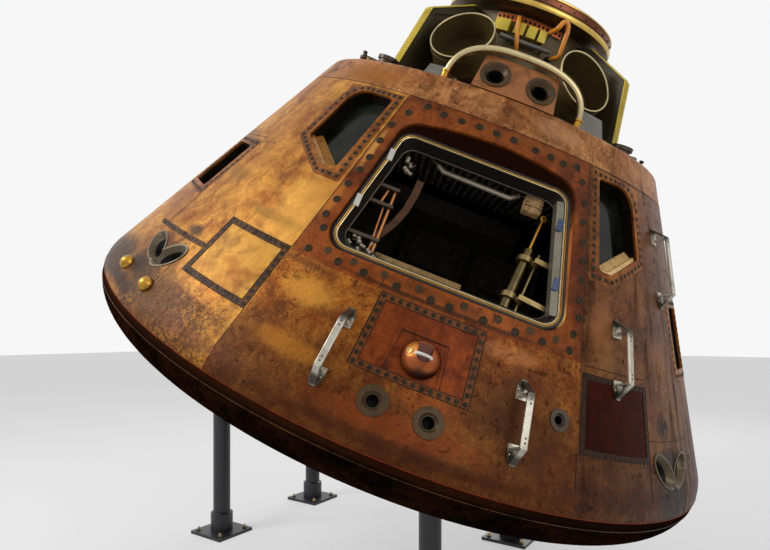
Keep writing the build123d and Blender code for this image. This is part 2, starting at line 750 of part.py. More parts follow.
def around_tunnel(angle, reach, rise):
    """Point a distance outside the tunnel's wall, at a height against its top."""
    r = TUNNEL_RADIUS + reach
    return Vector(r * sin(radians(angle)), -r * cos(radians(angle)), TUNNEL_TOP + rise)


def tunnel_pads():
    """Blocks strapped round the front of the tunnel, under the ring."""
    low, high = (TUNNEL_TOP - drop for drop in PAD_BAND)
    inner = TUNNEL_RADIUS + CLEAR
    outer = inner + TUNNEL_PAD_THICK
    band = outline([(inner, low), (outer, low), (outer, high), (inner, high)])
    return [turned(band, first, last) for first, last in PADS]


def tunnel_rail():
    """Round bar on two posts across the front of the tunnel."""
    first, last = RAIL_SPAN
    a, b = (around_tunnel(angle, RAIL_REACH, -RAIL_DROP) for angle in (first, last))
    bar = rod(a, b, RAIL_TUBE)
    for share in (0.12, 0.88):
        p = a + (b - a) * share
        bar += rod(p, (p.X * 0.6, p.Y * 0.6, p.Z), RAIL_TUBE * 0.6)
    return bar - tunnel_core()


def hose_loops():
    """Two stiff hoses that leave the tunnel's wall and come back to it."""
    loops = []
    for route, bend in zip((HOSE_NEAR, HOSE_FAR), HOSE_BENDS):
        loops.append(bent_tube([around_tunnel(*point) for point in route], HOSE_RADIUS, bend) - tunnel_core())
    return loops


def guard_tube():
    """Bent tube that arches over the nozzle block."""
    foot_x, foot_inset = GUARD_FOOT
    left = [(-foot_x, foot_inset - CROWN_RIM, CROWN_TOP), (-foot_x, foot_inset - CROWN_RIM, CROWN_TOP + 70)]
    for x, inset, rise in (GUARD_SHOULDER, GUARD_CROWN):
        left.append((-x, inset - CROWN_RIM, CROWN_HEIGHT + rise))
    right = [(-x, y, z) for x, y, z in reversed(left[:-1])]
    return bent_tube(left + right, GUARD_RADIUS, 60)


def tunnel_hatch():
    """Round lid that closes the tunnel from inside."""
    edge = TUNNEL_RADIUS - TUNNEL_WALL - LID_CLEAR
    low, top = HATCH_LID_Z, HATCH_LID_Z + HATCH_LID
    seat = edge - LEDGE_WIDTH - 20
    section = [
        (0, low), (edge - 20, low), (edge, low + 16), (edge, top),
        (seat, top), (seat - 20, top - 20), (0, top - 20),
    ]
    return turned(outline(section))


# Cabin


def cabin_floor():
    edge = cone_radius(FLOOR_HEIGHT + FLOOR, WALL) - CLEAR
    corners = [(0, FLOOR_HEIGHT), (edge, FLOOR_HEIGHT), (edge, FLOOR_HEIGHT + FLOOR), (0, FLOOR_HEIGHT + FLOOR)]
    return turned(outline(corners))


def main_panel():
    """Instrument panel over the couches, facing down and towards the hatch, its upper corners at the wall."""
    inset, drop = PANEL_NEAR
    near_z = CROWN_BAND - drop
    near_y = inset - cone_radius(near_z, WALL)
    run, tip = hypot(*PANEL_RUN), atan2(PANEL_RUN[1], PANEL_RUN[0])
    top_y, top_z = near_y - PANEL_THICK * sin(tip), near_z + PANEL_THICK * cos(tip)
    half = sqrt(cone_radius(top_z, WALL) ** 2 - top_y**2) - 2 * CLEAR
    slab = Pos(0, run / 2, PANEL_THICK / 2) * Box(2 * half, run, PANEL_THICK)
    return Pos(0, near_y, near_z) * Rot(degrees(tip), 0, 0) * slab


def couch(place):
    """Tube frame of one couch with its back, seat and leg pan."""
    x = place * COUCH_PITCH
    half = COUCH_WIDTH / 2
    side = [(y, COUCH_HEIGHT + rise) for y, rise in COUCH_SIDE]
    frame = None
    for hand in (-1, 1):
        tube = bent_tube([(x + hand * half, y, z) for y, z in side], COUCH_TUBE, COUCH_BEND)
        frame = tube if frame is None else frame + tube
    for y, rise in COUCH_BARS:
        z = COUCH_HEIGHT + rise
        frame += rod((x - half, y, z), (x + half, y, z), COUCH_BAR)
    for (y0, z0), (y1, z1) in zip(side, side[1:]):
        run = hypot(y1 - y0, z1 - z0) - 2 * COUCH_TUBE
        tip = degrees(atan2(z1 - z0, y1 - y0))
        pan = Rot(tip, 0, 0) * Box(COUCH_WIDTH, run, COUCH_PAN)
        frame += Pos(x, (y0 + y1) / 2, (z0 + z1) / 2) * pan
    return frame


def couch_struts():
    """Legs from the couches' cross bars down to the floor."""
    foot = FLOOR_HEIGHT + FLOOR + CLEAR
    legs = []
    for x in (-COUCH_PITCH, 0, COUCH_PITCH):
        for y, rise in (COUCH_BARS[0], COUCH_BARS[-1]):
            top = COUCH_HEIGHT + rise - COUCH_BAR - CLEAR
            legs.append(rod((x, y, foot), (x, y, top), COUCH_LEG))
    return legs


def beside_hatch(x, y, depth):
    """Place on the hatch's own plane: across, up the slope, and a depth inside."""
    return on_cone(0, (HATCH_LOW + HATCH_HIGH) / 2).location * Pos(x, y, -depth)


def hatch_point(x, y, depth):
    return beside_hatch(x, y, depth).position


def within_cabin(low, high):
    """All that lies inside the wall between two heights."""
    corners = [(low, WALL), (high, WALL)]
    edge = [(cone_radius(z, depth) - CLEAR, z) for z, depth in corners]
    return turned(outline([(0, low), *edge, (0, high)]))


def from_edge(inset, y, depth):
    """How far across a point is that lies in from the opening's right edge."""
    return hatch_half(y, depth) - inset


def along_strut(run):
    """Place on the strut's own line, y up the line and x out to the hatch's side."""
    inset, y = STRUT_FOOT
    x = from_edge(inset, y, RIM_DEPTH + RIM_LENGTH)
    return beside_hatch(x, y, STRUT_DEPTH) * Rot(0, 0, -STRUT_LEAN) * Pos(0, run, 0)


def strut_barrel():
    """Cylinder of the counterbalance, lying up the slope beside the hatch."""
    body = Cylinder(BARREL_RADIUS, BARREL_LENGTH)
    bore = Pos(0, 0, BARREL_END) * Cylinder(ROD_RADIUS + ROD_RUNNING, BARREL_LENGTH)
    return along_strut(BARREL_LENGTH / 2) * Rot(-90, 0, 0) * (body - bore)


def strut_rod():
    """Rod of the counterbalance, its outer end free."""
    length = STRUT_LENGTH - ROD_START
    bar = Rot(-90, 0, 0) * Cylinder(ROD_RADIUS, length)
    eye = Pos(0, length / 2, 0) * (Cylinder(ROD_EYE, 16) - Cylinder(ROD_EYE / 2, 30))
    return along_strut((ROD_START + STRUT_LENGTH) / 2) * (bar + eye)


def strut_clamps():
    """Two clamps that hold the cylinder to the back of the hatch's rim, with a guide bar."""
    start, end = CLAMP_PLACES
    rise = STRUT_DEPTH - RIM_DEPTH - RIM_LENGTH - CLEAR
    guide = Rot(-90, 0, 0) * Cylinder(GUIDE_RADIUS, end - start + 120)
    clamps = along_strut((start + end) / 2) * Pos(GUIDE_GAP, 0, 0) * guide
    for run in CLAMP_PLACES:
        y = STRUT_FOOT[1] + run * cos(radians(STRUT_LEAN))
        x = from_edge(*STRUT_FOOT, RIM_DEPTH + RIM_LENGTH) + run * sin(radians(STRUT_LEAN))
        reach = hatch_half(y, RIM_DEPTH + RIM_LENGTH) - x - CLAMP_EDGE
        collar = Rot(-90, 0, 0) * Cylinder(BARREL_RADIUS + 12, 26)
        bridge = Pos(GUIDE_GAP / 2, 0, 0) * Box(GUIDE_GAP + 20, 26, 30)
        arm = Box(reach - GUIDE_GAP + 20, 24, CLAMP_THICK)
        arm = Pos((GUIDE_GAP + reach) / 2 - 10, 0, rise - CLAMP_THICK / 2) * arm
        web = Pos(GUIDE_GAP, 0, rise / 2) * Box(14, 24, rise)
        clamps += along_strut(run) * (collar + bridge + arm + web)
    hole = Rot(-90, 0, 0) * Cylinder(BARREL_RADIUS + CLEAR, 2 * STRUT_LENGTH)
    return clamps - along_strut(0) * hole


def grab_bar():
    """Bent tube across the top of the opening, its ends on the inside of the wall."""
    first, last = GRAB_BAR[0], GRAB_BAR[-1]
    start, end = (first[0] - 8, first[1] + 30, WALL), (last[0] + 10, last[1] + 30, WALL)
    points = [hatch_point(*p) for p in (start, *GRAB_BAR, end)]
    bar = bent_tube(points, GRAB_RADIUS, 18)
    return bar & within_cabin(SEAM_HEIGHT, CROWN_BAND)


def hatch_rods():
    """Linkage rods of the missing hatch door, on two arms from the hatch's rim."""
    lines = ((ROD_LONG, 8), (ROD_SHORT, 5), (ROD_UPPER, 7))
    rods = None
    for ends, radius in lines:
        bar = rod(*(hatch_point(-from_edge(x, y, ROD_DEPTH), y, ROD_DEPTH) for x, y in ends), radius)
        rods = bar if rods is None else rods + bar
    back = RIM_DEPTH + RIM_LENGTH + CLEAR
    deep = ROD_DEPTH - back + 4
    for y in ROD_ARMS:
        outer = hatch_half(y, back) - RIM_WIDTH / 2
        inner = from_edge(*ROD_LONG[0], ROD_DEPTH) - 12
        arm = Box(outer - inner, ROD_ARM, deep)
        rods += beside_hatch(-(outer + inner) / 2, y, back + deep / 2) * arm
    return rods


def stowage_bag():
    """Soft bag hung behind the upper corner of the rim."""
    x, y = BAG_PLACE
    wide, long, deep = BAG
    bag = Box(wide, long, deep)
    bag = fillet(bag.edges(), deep * 0.3)
    return beside_hatch(x, y, RIM_DEPTH + RIM_LENGTH + CLEAR + deep / 2) * bag


def equipment_bay():
    """Cabinet against the far wall, its face sloping back at the top."""
    foot = FLOOR_HEIGHT + FLOOR + CLEAR
    top = BAY_FACE[-1][1]
    side = Polyline((BAY_FACE[0][0], foot), *BAY_FACE, (MAX_RADIUS, top), (MAX_RADIUS, foot), close=True)
    return extrude(Plane.YZ * make_face(side), BAY_HALF, both=True) & within_cabin(foot, top)


def side_lockers():
    """Low lockers along the wall on both sides of the couches."""
    foot = FLOOR_HEIGHT + FLOOR + CLEAR
    reach = MAX_RADIUS - LOCKER_X
    lockers = []
    for hand in (-1, 1):
        x = hand * (LOCKER_X + reach / 2)
        box = Pos(x, 0, (foot + LOCKER_HEIGHT) / 2) * Box(reach, 2 * LOCKER_HALF, LOCKER_HEIGHT - foot)
        lockers.append(box & within_cabin(foot, LOCKER_HEIGHT))
    return lockers


# Stand


def stand_post(x, y):
    """Post with a sleeved foot and a pad cut to the base's curve."""
    centre = STANDING * Pos(0, 0, BASE_SPHERE)
    cx, cy, cz = centre.position
    top = cz - sqrt(BASE_SPHERE**2 - (x - cx) ** 2 - (y - cy) ** 2)
    wide, long, thick = FOOT
    post = Pos(x, y, top / 2) * Cylinder(POST_RADIUS, top + 120)
    outward = Vector(x - cx, y - cy, top - cz).normalized()
    pad = Pos(0, 0, PAD_DEPTH / 2 - 60) * Cylinder(PAD_RADIUS, PAD_DEPTH + 120)
    pad = Plane((x, y, top), z_dir=outward).location * pad
    post = post + pad - Pos(cx, cy, cz) * Sphere(BASE_SPHERE + CLEAR)
    post &= Pos(x, y, MAX_RADIUS) * Box(4 * PAD_RADIUS, 4 * PAD_RADIUS, 2 * MAX_RADIUS)
    foot = Pos(x, y, thick / 2) * Box(wide, long, thick)
    for dx in (-1, 1):
        for dy in (-1, 1):
            foot -= Pos(x + dx * FOOT_HOLES / 2, y + dy * FOOT_HOLES / 2, 0) * Cylinder(FOOT_BORE, 3 * thick)
    sleeve = Pos(x, y, SLEEVE_HEIGHT / 2) * Cylinder(SLEEVE_RADIUS, SLEEVE_HEIGHT)
    return post + foot + sleeve


def capsule_nodes():
    nodes = {
        "base_heat_shield": base_heat_shield(),
        "skirt_panel_front": skirt_panel_front(),
        "hatch_surround": hatch_surround(),
        "shell_left": shell_side(-1),
        "shell_right": shell_side(1),
        "shell_back": shell_back(),
        "shell_crown": shell_crown(),
        "hatch_rim": hatch_rim(),
        "access_panel_left": access_panel(*ACCESS_LEFT),
        "access_panel_right": access_panel(*ACCESS_RIGHT),
        "service_panel": service_panel(),
        "vent_cover": vent_cover(),
        "round_ports": [round_port(a, PORT_HEIGHT, PORT_RADIUS, PORT_BORE) for a in PORT_ANGLES],
        "small_port": round_port(*SMALL_PORT, SMALL_PORT_RADIUS, SMALL_PORT_BORE),
        "thrusters_left": scarfed_thrusters(THRUSTERS_LEFT),
        "thrusters_right": scarfed_thrusters(THRUSTERS_RIGHT),
        "side_domes": side_domes(),
        "forward_deck": forward_deck(),
        "tunnel": tunnel(),
        "tunnel_ring": tunnel_ring(),
        "gussets": gussets(),
        "leg_wells": leg_wells(),
        "mortar_left": mortar(-1),
        "mortar_right": mortar(1),
        "nozzle_block": [nozzle_block(), *block_nozzles()],
        "forward_fittings": [*crown_plates(), tunnel_rail()],
        "tunnel_pads": tunnel_pads(),
        "hose_loops": hose_loops(),
        "guard_tube": guard_tube(),
        "tunnel_hatch": tunnel_hatch(),
        "cabin_floor": cabin_floor(),
        "main_panel": main_panel(),
        "couch_struts": couch_struts(),
        "strut_barrel": strut_barrel(),
        "strut_rod": strut_rod(),
        "strut_clamps": strut_clamps(),
        "hatch_rods": [hatch_rods(), grab_bar()],
        "stowage_bag": stowage_bag(),
        "cabin_lockers": [equipment_bay(), *side_lockers()],
    }
    for hand, name in ((-1, "left"), (1, "right")):
        windows = ("forward", FORWARD_FRAME, FORWARD_SIGHT), ("side", SIDE_FRAME, SIDE_SIGHT)
        for place, frame, sight in windows:
            frame, sight = window_corners(hand, frame), window_corners(hand, sight)
            nodes[f"{place}_window_frame_{name}"] = window_frame(frame, sight)
            nodes[f"{place}_window_glass_{name}"] = window_glass(sight)
        nodes[f"thrusters_side_{name}"] = thruster_pair([(hand * a, z) for a, z in THRUSTERS_SIDE])
    for place, name in ((-1, "left"), (0, "center"), (1, "right")):
        nodes[f"couch_{name}"] = couch(place)
    for name, (angle, low, high) in HANDRAILS.items():
        nodes[name] = handrail(angle, low, high)
    return nodes


def main():
    os.makedirs("parts", exist_ok=True)
    for name, shape in capsule_nodes().items():
        pieces = shape if isinstance(shape, list) else [shape]
        solids = [solid for piece in pieces for solid in (STANDING * piece).solids()]
        export_step(Compound(solids), f"parts/{name}.step")
    for name, (x, y) in POSTS.items():
        export_step(stand_post(x, y), f"parts/{name}.step")


main()
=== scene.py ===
# %% [markdown]
# # A space capsule on its display stand
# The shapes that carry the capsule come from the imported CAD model. This lesson dresses them: it adds the
# small parts that make the surface readable, such as plugs, screws and seals, and it makes the finishes.
# Everything is in metres, in the frame of the CAD model, so that nothing has to be fitted by eye.

from math import atan2, cos, degrees, hypot, pi, radians, sin, tan

import bmesh
import bpy
from mathutils import Matrix, Vector


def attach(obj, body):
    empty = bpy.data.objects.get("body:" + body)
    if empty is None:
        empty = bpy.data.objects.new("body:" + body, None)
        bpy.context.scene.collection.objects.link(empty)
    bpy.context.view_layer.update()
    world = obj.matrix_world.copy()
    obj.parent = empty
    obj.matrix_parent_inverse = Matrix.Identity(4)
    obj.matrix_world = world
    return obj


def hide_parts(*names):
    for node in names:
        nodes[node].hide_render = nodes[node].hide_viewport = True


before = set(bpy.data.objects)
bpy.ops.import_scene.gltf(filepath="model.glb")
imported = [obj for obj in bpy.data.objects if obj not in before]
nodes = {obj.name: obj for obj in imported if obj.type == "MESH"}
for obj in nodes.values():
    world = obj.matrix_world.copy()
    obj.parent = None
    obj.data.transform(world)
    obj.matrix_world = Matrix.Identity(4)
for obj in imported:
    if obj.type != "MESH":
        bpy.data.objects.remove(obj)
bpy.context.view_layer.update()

# %% [markdown]
# ## The capsule's own axes
# The capsule leans on four posts, and it is turned about its nose. Places on it are far easier to name as
# an angle round the nose and a height above the base, so one matrix carries such places into the frame of
# the CAD model. The numbers are the ones that the CAD source uses.

# %% The capsule's axes and its cone
LEAN = radians(25.5)
TURN = radians(31.1)
BASE = Vector((-0.23863, 0, 0.95248))
CONE_SLOPE = radians(32.5)
CONE_FOOT_R = 1.92517
CONE_FOOT_Z = 0.65938
HATCH_MIDDLE = 1.5115
CROWN_HEIGHT, CROWN_RIM = 2.054, 1.0367

to_row = Matrix.Translation(BASE) @ Matrix.Rotation(LEAN, 4, "Y") @ Matrix.Rotation(TURN, 4, "Z")


def cone_radius(height):
    """Radius of the shell's outer face at a height above the base."""
    return CONE_FOOT_R - (height - CONE_FOOT_Z) * tan(CONE_SLOPE)


def on_cone(angle, height, lift=0.0):
    """Frame on the cone's skin: x round the nose, y up the slope, z outwards."""
    a = radians(angle)
    out = Vector((sin(a) * cos(CONE_SLOPE), -cos(a) * cos(CONE_SLOPE), sin(CONE_SLOPE)))
    around = Vector((cos(a), sin(a), 0))
    r = cone_radius(height)
    place = Vector((r * sin(a), -r * cos(a), height)) + out * lift
    columns = Matrix((around, out.cross(around), out)).transposed().to_4x4()
    return to_row @ Matrix.Translation(place) @ columns


def beside_hatch(x, y, depth):
    """Frame on the hatch's own flat plane: x across, y up the slope, z outwards."""
    return on_cone(0, HATCH_MIDDLE) @ Matrix.Translation((x, y, -depth))


print("base in the row", [round(v, 4) for v in to_row @ Vector((0, 0, 0))])

# %% [markdown]
# ## Camera and light
# The camera stands low and close to the capsule, so the near rim looms. It looks level, and the lens is
# shifted instead, which keeps upright posts upright.

# %% Camera
EYE = (2.045, -3.374, 1.504)
HEADING = atan2(0.5814, 0.8136)
LENS, SENSOR = 26.13, 36
LENS_SHIFT = (0.0333, 0.0759)

view = bpy.data.cameras.new("camera")
view.sensor_width = SENSOR
view.lens = LENS
view.shift_x, view.shift_y = LENS_SHIFT
camera = bpy.data.objects.new("camera", view)
camera.location = EYE
camera.rotation_euler = (radians(90), 0, HEADING)
bpy.context.scene.collection.objects.link(camera)
bpy.context.scene.camera = camera
print("camera at", EYE, "heading", round(degrees(HEADING), 1))

# %% [markdown]
# ### Lamps, sky and floor
# A large soft lamp above the left shoulder shapes the cone, a weaker one fills the other side, and a third
# lights the back. A bright white world would light the background and the skin alike. Here the sky is dim as
# a light, so that the browns stay deep, but the eye, glass and metal see it white. The floor does the same
# by half, because it also has to keep the capsule's shadow.

# %% Node helpers


def connect(tree, made, sockets):
    """Give a node's sockets a number or colour, or the output that feeds them."""
    for name, value in sockets.items():
        if isinstance(value, bpy.types.NodeSocket):
            tree.links.new(value, made.inputs[name])
        else:
            made.inputs[name].default_value = value
    return made


def put(tree, kind, sockets=None, **settings):
    """Add a node of a kind, with its settings and what goes into its sockets."""
    made = tree.nodes.new(kind)
    for name, value in settings.items():
        setattr(made, name, value)
    return connect(tree, made, sockets or {})


def math_node(tree, operation, *values, clamp=False):
    """Work out one number from up to three others."""
    made = put(tree, "ShaderNodeMath", dict(enumerate(values)), operation=operation, use_clamp=clamp)
    return made.outputs[0]


# %% Lamps
LAMP_TARGET = Vector((0, 0, 1.8))
# name: place, size in metres, power in watts
LAMPS = {
    "key_lamp": ((-3.4, -5.6, 6.2), 3.0, 325),
    "fill_lamp": ((5.6, -2.6, 3.4), 3.0, 60),
    "back_lamp": ((-1.5, 6.5, 5.0), 4.0, 170),
}
for name, (place, size, power) in LAMPS.items():
    lamp = bpy.data.lights.new(name, "AREA")
    lamp.size = size
    lamp.energy = power
    made = bpy.data.objects.new(name, lamp)
    made.location = place
    made.rotation_euler = (LAMP_TARGET - Vector(place)).to_track_quat("-Z", "Y").to_euler()
    bpy.context.scene.collection.objects.link(made)
print("lamps", list(LAMPS))

# %% Sky
SKY_LIGHT = 0.36
WHITE = (0.93, 0.93, 0.93, 1)


def shown_white(tree, rays):
    """1 where the eye meets the background, directly, through glass or mirrored in metal."""
    direct = math_node(tree, "MAXIMUM", rays.outputs["Is Camera Ray"], rays.outputs["Is Transmission Ray"])
    return math_node(tree, "MAXIMUM", direct, rays.outputs["Is Glossy Ray"])


world = bpy.data.worlds.new("studio")
bpy.context.scene.world = world
world.use_nodes = True
sky = world.node_tree
sky.nodes.clear()
seen = shown_white(sky, put(sky, "ShaderNodeLightPath"))
dim = put(sky, "ShaderNodeBackground", {"Color": (1, 1, 1, 1), "Strength": SKY_LIGHT})
white = put(sky, "ShaderNodeBackground", {"Color": WHITE, "Strength": 1.0})
both = put(sky, "ShaderNodeMixShader", {0: seen, 1: dim.outputs[0], 2: white.outputs[0]})
put(sky, "ShaderNodeOutputWorld", {"Surface": both.outputs[0]})
bpy.context.scene.view_settings.view_transform = "Standard"
print("sky", world.name, "with", len(sky.nodes), "nodes")

# %% Floor
FLOOR_REACH = 40
FLOOR_GLOW = 0.5

floor_mesh = bpy.data.meshes.new("floor")
floor_corners = [(x * FLOOR_REACH, y * FLOOR_REACH, 0) for x, y in ((-1, -1), (1, -1), (1, 1), (-1, 1))]
floor_mesh.from_pydata(floor_corners, [], [(0, 1, 2, 3)])
floor = bpy.data.objects.new("floor", floor_mesh)
bpy.context.scene.collection.objects.link(floor)
pale = bpy.data.materials.new("pale_floor")
pale.use_nodes = True
tree = pale.node_tree
shading = connect(tree, tree.nodes["Principled BSDF"], {"Base Color": (0.8, 0.8, 0.8, 1), "Roughness": 0.7})
share = math_node(tree, "MULTIPLY", shown_white(tree, put(tree, "ShaderNodeLightPath")), FLOOR_GLOW)
glow = put(tree, "ShaderNodeEmission", {"Color": WHITE, "Strength": 1.0})
mixed = put(tree, "ShaderNodeMixShader", {0: share, 1: shading.outputs[0], 2: glow.outputs[0]})
connect(tree, tree.nodes["Material Output"], {"Surface": mixed.outputs[0]})
floor_mesh.materials.append(pale)
print("floor reaches", FLOOR_REACH, "m")

# %% [markdown]
# ## Finishes
# Heat has burnt the shell to every brown between gold and black, so a flat colour would look like plastic.
# A texture picture could carry the stains, but it would stretch over a cone. Noise that is read in the
# capsule's own axes does not: streaks run up the slope, and a stain sits at an angle and a height, as
# everything else here does. What several finishes share is a node group, built once.

# %% A group that says where a point is on the capsule


def new_group(name, inputs, outputs):
    """Start a shader group, and return it with its input's outputs and its output node."""
    group = bpy.data.node_groups.new(name, "ShaderNodeTree")
    for label, kind, default in inputs:
        made = group.interface.new_socket(label, in_out="INPUT", socket_type="NodeSocket" + kind)
        made.default_value = default
    for label, kind in outputs:
        group.interface.new_socket(label, in_out="OUTPUT", socket_type="NodeSocket" + kind)
    return group, group.nodes.new("NodeGroupInput").outputs, group.nodes.new("NodeGroupOutput")


def use_group(tree, name, sockets=None):
    """Place a finished group in a tree."""
    made = tree.nodes.new("ShaderNodeGroup")
    made.node_tree = bpy.data.node_groups[name]
    return connect(tree, made, sockets or {})


def send(tree, end, outputs):
    """Link results to a group's output node."""
    for name, value in outputs.items():
        tree.links.new(value, end.inputs[name])


MEAN_RADIUS = 1.6
places = [("Position", "Vector"), ("Angle", "Float"), ("Height", "Float"), ("Unrolled", "Vector"),
          ("Depth", "Float")]
group, start, end = new_group("capsule place", [], places)
point = put(group, "ShaderNodeTexCoord").outputs["Object"]
moved = put(group, "ShaderNodeVectorMath", {0: point, 1: BASE}, operation="SUBTRACT").outputs[0]
along = []
for axis in range(3):
    line = [to_row[row][axis] for row in range(3)]
    dot = put(group, "ShaderNodeVectorMath", {0: moved, 1: line}, operation="DOT_PRODUCT")
    along.append(dot.outputs["Value"])
x, y, height = along
turned = math_node(group, "ARCTAN2", x, math_node(group, "MULTIPLY", y, -1.0))
squares = [math_node(group, "MULTIPLY", v, v) for v in (x, y)]
reach = math_node(group, "SQRT", math_node(group, "ADD", *squares))
arc = math_node(group, "MULTIPLY", turned, MEAN_RADIUS)
taper = math_node(group, "MULTIPLY_ADD", height, -tan(CONE_SLOPE), cone_radius(0))
under = math_node(group, "MULTIPLY", math_node(group, "SUBTRACT", taper, reach), cos(CONE_SLOPE))
slope = math_node(group, "DIVIDE", height, cos(CONE_SLOPE))
send(group, end, {
    "Position": put(group, "ShaderNodeCombineXYZ", {0: x, 1: y, 2: height}).outputs[0],
    "Angle": math_node(group, "MULTIPLY", turned, degrees(1)),
    "Height": height,
    "Unrolled": put(group, "ShaderNodeCombineXYZ", {0: arc, 1: slope, 2: reach}).outputs[0],
    "Depth": under,
})
print("group", group.name, "gives", [label for label, kind in places])

# %% Helpers for noise and colour


def noise(tree, vector, scale, detail=4.0, rough=0.55, warp=0.0):
    """Cloudy values between 0 and 1, mostly near a half."""
    sockets = {"Vector": vector, "Scale": scale, "Detail": detail, "Roughness": rough, "Distortion": warp}
    return put(tree, "ShaderNodeTexNoise", sockets).outputs["Fac"]


def stretch(tree, vector, scale):
    """Scale a vector by a different number on each axis, which draws noise out into streaks."""
    return put(tree, "ShaderNodeMapping", {"Vector": vector, "Scale": scale}).outputs[0]


def span(tree, value, low, high, out_low=0.0, out_high=1.0):
    """Map a range to another with a smooth start and end."""
    sockets = {0: value, 1: low, 2: high, 3: out_low, 4: out_high}
    return put(tree, "ShaderNodeMapRange", sockets, interpolation_type="SMOOTHSTEP").outputs[0]


def warped(tree, vector, scale, amount):
    """Push a vector about by a colour noise, so that regular patterns lose their order."""
    sockets = {"Vector": vector, "Scale": scale, "Detail": 5.0}
    colour = put(tree, "ShaderNodeTexNoise", sockets).outputs["Color"]
    push = put(tree, "ShaderNodeVectorMath", {0: colour, 1: (0.5, 0.5, 0.5)}, operation="SUBTRACT")
    sockets = {0: push.outputs[0], 1: (amount, amount, amount), 2: vector}
    return put(tree, "ShaderNodeVectorMath", sockets, operation="MULTIPLY_ADD").outputs[0]


def blend(tree, share, below, above, how="MIX"):
    """Lay one colour over another. A Mix node keeps its colours in sockets 6 and 7 and its result in 2."""
    mix = put(tree, "ShaderNodeMix", {0: share, 6: below, 7: above}, data_type="RGBA", blend_type=how)
    return mix.outputs[2]


def times(tree, *values):
    """Multiply two or more values."""
    product = values[0]
    for value in values[1:]:
        product = math_node(tree, "MULTIPLY", product, value)
    return product


def rgb(red, green, blue):
    """A colour written as it looks on a screen, from 0 to 255."""
    parts = [v / 255 for v in (red, green, blue)]
    return (*[v / 12.92 if v <= 0.04045 else ((v + 0.055) / 1.055) ** 2.4 for v in parts], 1)


print("half grey on a screen is", round(rgb(128, 128, 128)[0], 3), "as light")

# %% [markdown]
# ### Burnt skin
# The skin is a glass-fibre comb filled with resin, charred in flight. Noise on three scales carries it: large
# clouds between gold and brown, streaks that the air drew up the slope, and fine pits. Patches of rust lie
# over them. One mixed noise would be less work, but then no layer could be turned up alone, so each has its
# own share in the group.

# %% Burnt skin: clouds, streaks and rust
RUST_TINT = (0.62, 0.40, 0.26, 1)
GRAIN_TINT = (0.46, 0.34, 0.24, 1)
CRACK_TINT = (0.020, 0.010, 0.005, 1)
skin_inputs = [
    ("Light", "Color", (1, 1, 1, 1)), ("Mid", "Color", (0.5, 0.5, 0.5, 1)), ("Dark", "Color", (0, 0, 0, 1)),
    ("Recess_Shade", "Color", (0, 0, 0, 1)), ("Streaks", "Float", 0.5), ("Pits", "Float", 0.5),
    ("Crazing", "Float", 0.0), ("Comb", "Float", 0.3), ("Foot", "Float", 0.4),
]
skin_outputs = [("Color", "Color"), ("Roughness", "Float"), ("Height", "Float")]
group, start, end = new_group("burnt skin", skin_inputs, skin_outputs)
place = use_group(group, "capsule place").outputs
clouds = noise(group, place["Position"], 2.6, 7, 0.62, 0.5)
patches = noise(group, place["Position"], 9.0, 6, 0.6, 0.9)
shadows = noise(group, place["Position"], 4.7, 8, 0.68, 1.4)
drawn = noise(group, stretch(group, place["Unrolled"], (11, 1.1, 1)), 1.4, 6, 0.6, 0.4)
brushed = noise(group, stretch(group, place["Unrolled"], (46, 3.0, 1)), 1.0, 5, 0.6, 0.2)
fine = noise(group, place["Position"], 60, 6, 0.7)
tone = math_node(group, "MULTIPLY_ADD", patches, 0.55, math_node(group, "MULTIPLY", clouds, 0.7))
colour = blend(group, span(group, tone, 0.49, 0.73), start["Mid"], start["Light"])
colour = blend(group, times(group, span(group, shadows, 0.5, 0.72), 0.72), colour, start["Dark"])
streak = math_node(group, "MULTIPLY", span(group, drawn, 0.5, 0.7), start["Streaks"])
colour = blend(group, math_node(group, "MULTIPLY", streak, 0.85), colour, start["Dark"])
lift = math_node(group, "MULTIPLY", span(group, brushed, 0.52, 0.75), start["Streaks"])
colour = blend(group, math_node(group, "MULTIPLY", lift, 0.45), colour, start["Light"])
rusted = span(group, noise(group, place["Position"], 5.6, 7, 0.66, 1.0), 0.47, 0.66)
colour = blend(group, times(group, rusted, 0.75), colour, RUST_TINT, "MULTIPLY")
print("group", group.name, "asks for", [label for label, kind, default in skin_inputs])

# %% [markdown]
# ### Pits, cracks and comb
# A pit is dark and dull at once, so one mask drives colour, roughness and a small bump. Low on the left the
# char has crazed. The edges of a Voronoi pattern alone look like dried mud, so the pattern is warped, thinned
# and broken until it looks like char. The cells of the comb show as a faint grid, and what lies below the
# skin, such as the side of a cut, takes a dark recess colour, which is painted shade.

# %% Burnt skin: pits, cracks and comb
grain = span(group, noise(group, place["Position"], 33, 8, 0.75, 1.8), 0.40, 0.60)
grain = math_node(group, "MULTIPLY", grain, start["Pits"])
colour = blend(group, times(group, grain, 0.8), colour, GRAIN_TINT, "MULTIPLY")
blots = span(group, noise(group, place["Position"], 21, 8, 0.66, 1.2), 0.55, 0.66)
pits = span(group, fine, 0.57, 0.7)
spoiled = math_node(group, "MAXIMUM", math_node(group, "MULTIPLY", blots, 0.85), pits)
spoiled = math_node(group, "MULTIPLY", spoiled, start["Pits"])
colour = blend(group, spoiled, colour, start["Dark"])
mud_sockets = {"Vector": warped(group, place["Position"], 20, 0.08), "Scale": 27.0}
mud = put(group, "ShaderNodeTexVoronoi", mud_sockets, feature="DISTANCE_TO_EDGE").outputs["Distance"]
crack = span(group, mud, 0.04, 0.15, 1.0, 0.0)
broken = span(group, noise(group, place["Position"], 13, 5, 0.7), 0.40, 0.50)
specks = span(group, noise(group, place["Position"], 46, 5, 0.6, 1.5), 0.56, 0.62)
crack = math_node(group, "MAXIMUM", math_node(group, "MULTIPLY", crack, broken), specks)
crazed_high = span(group, place["Height"], 0.74, 0.84, 1.0, 0.0)
crazed_left = span(group, place["Angle"], -48.0, -43.0)
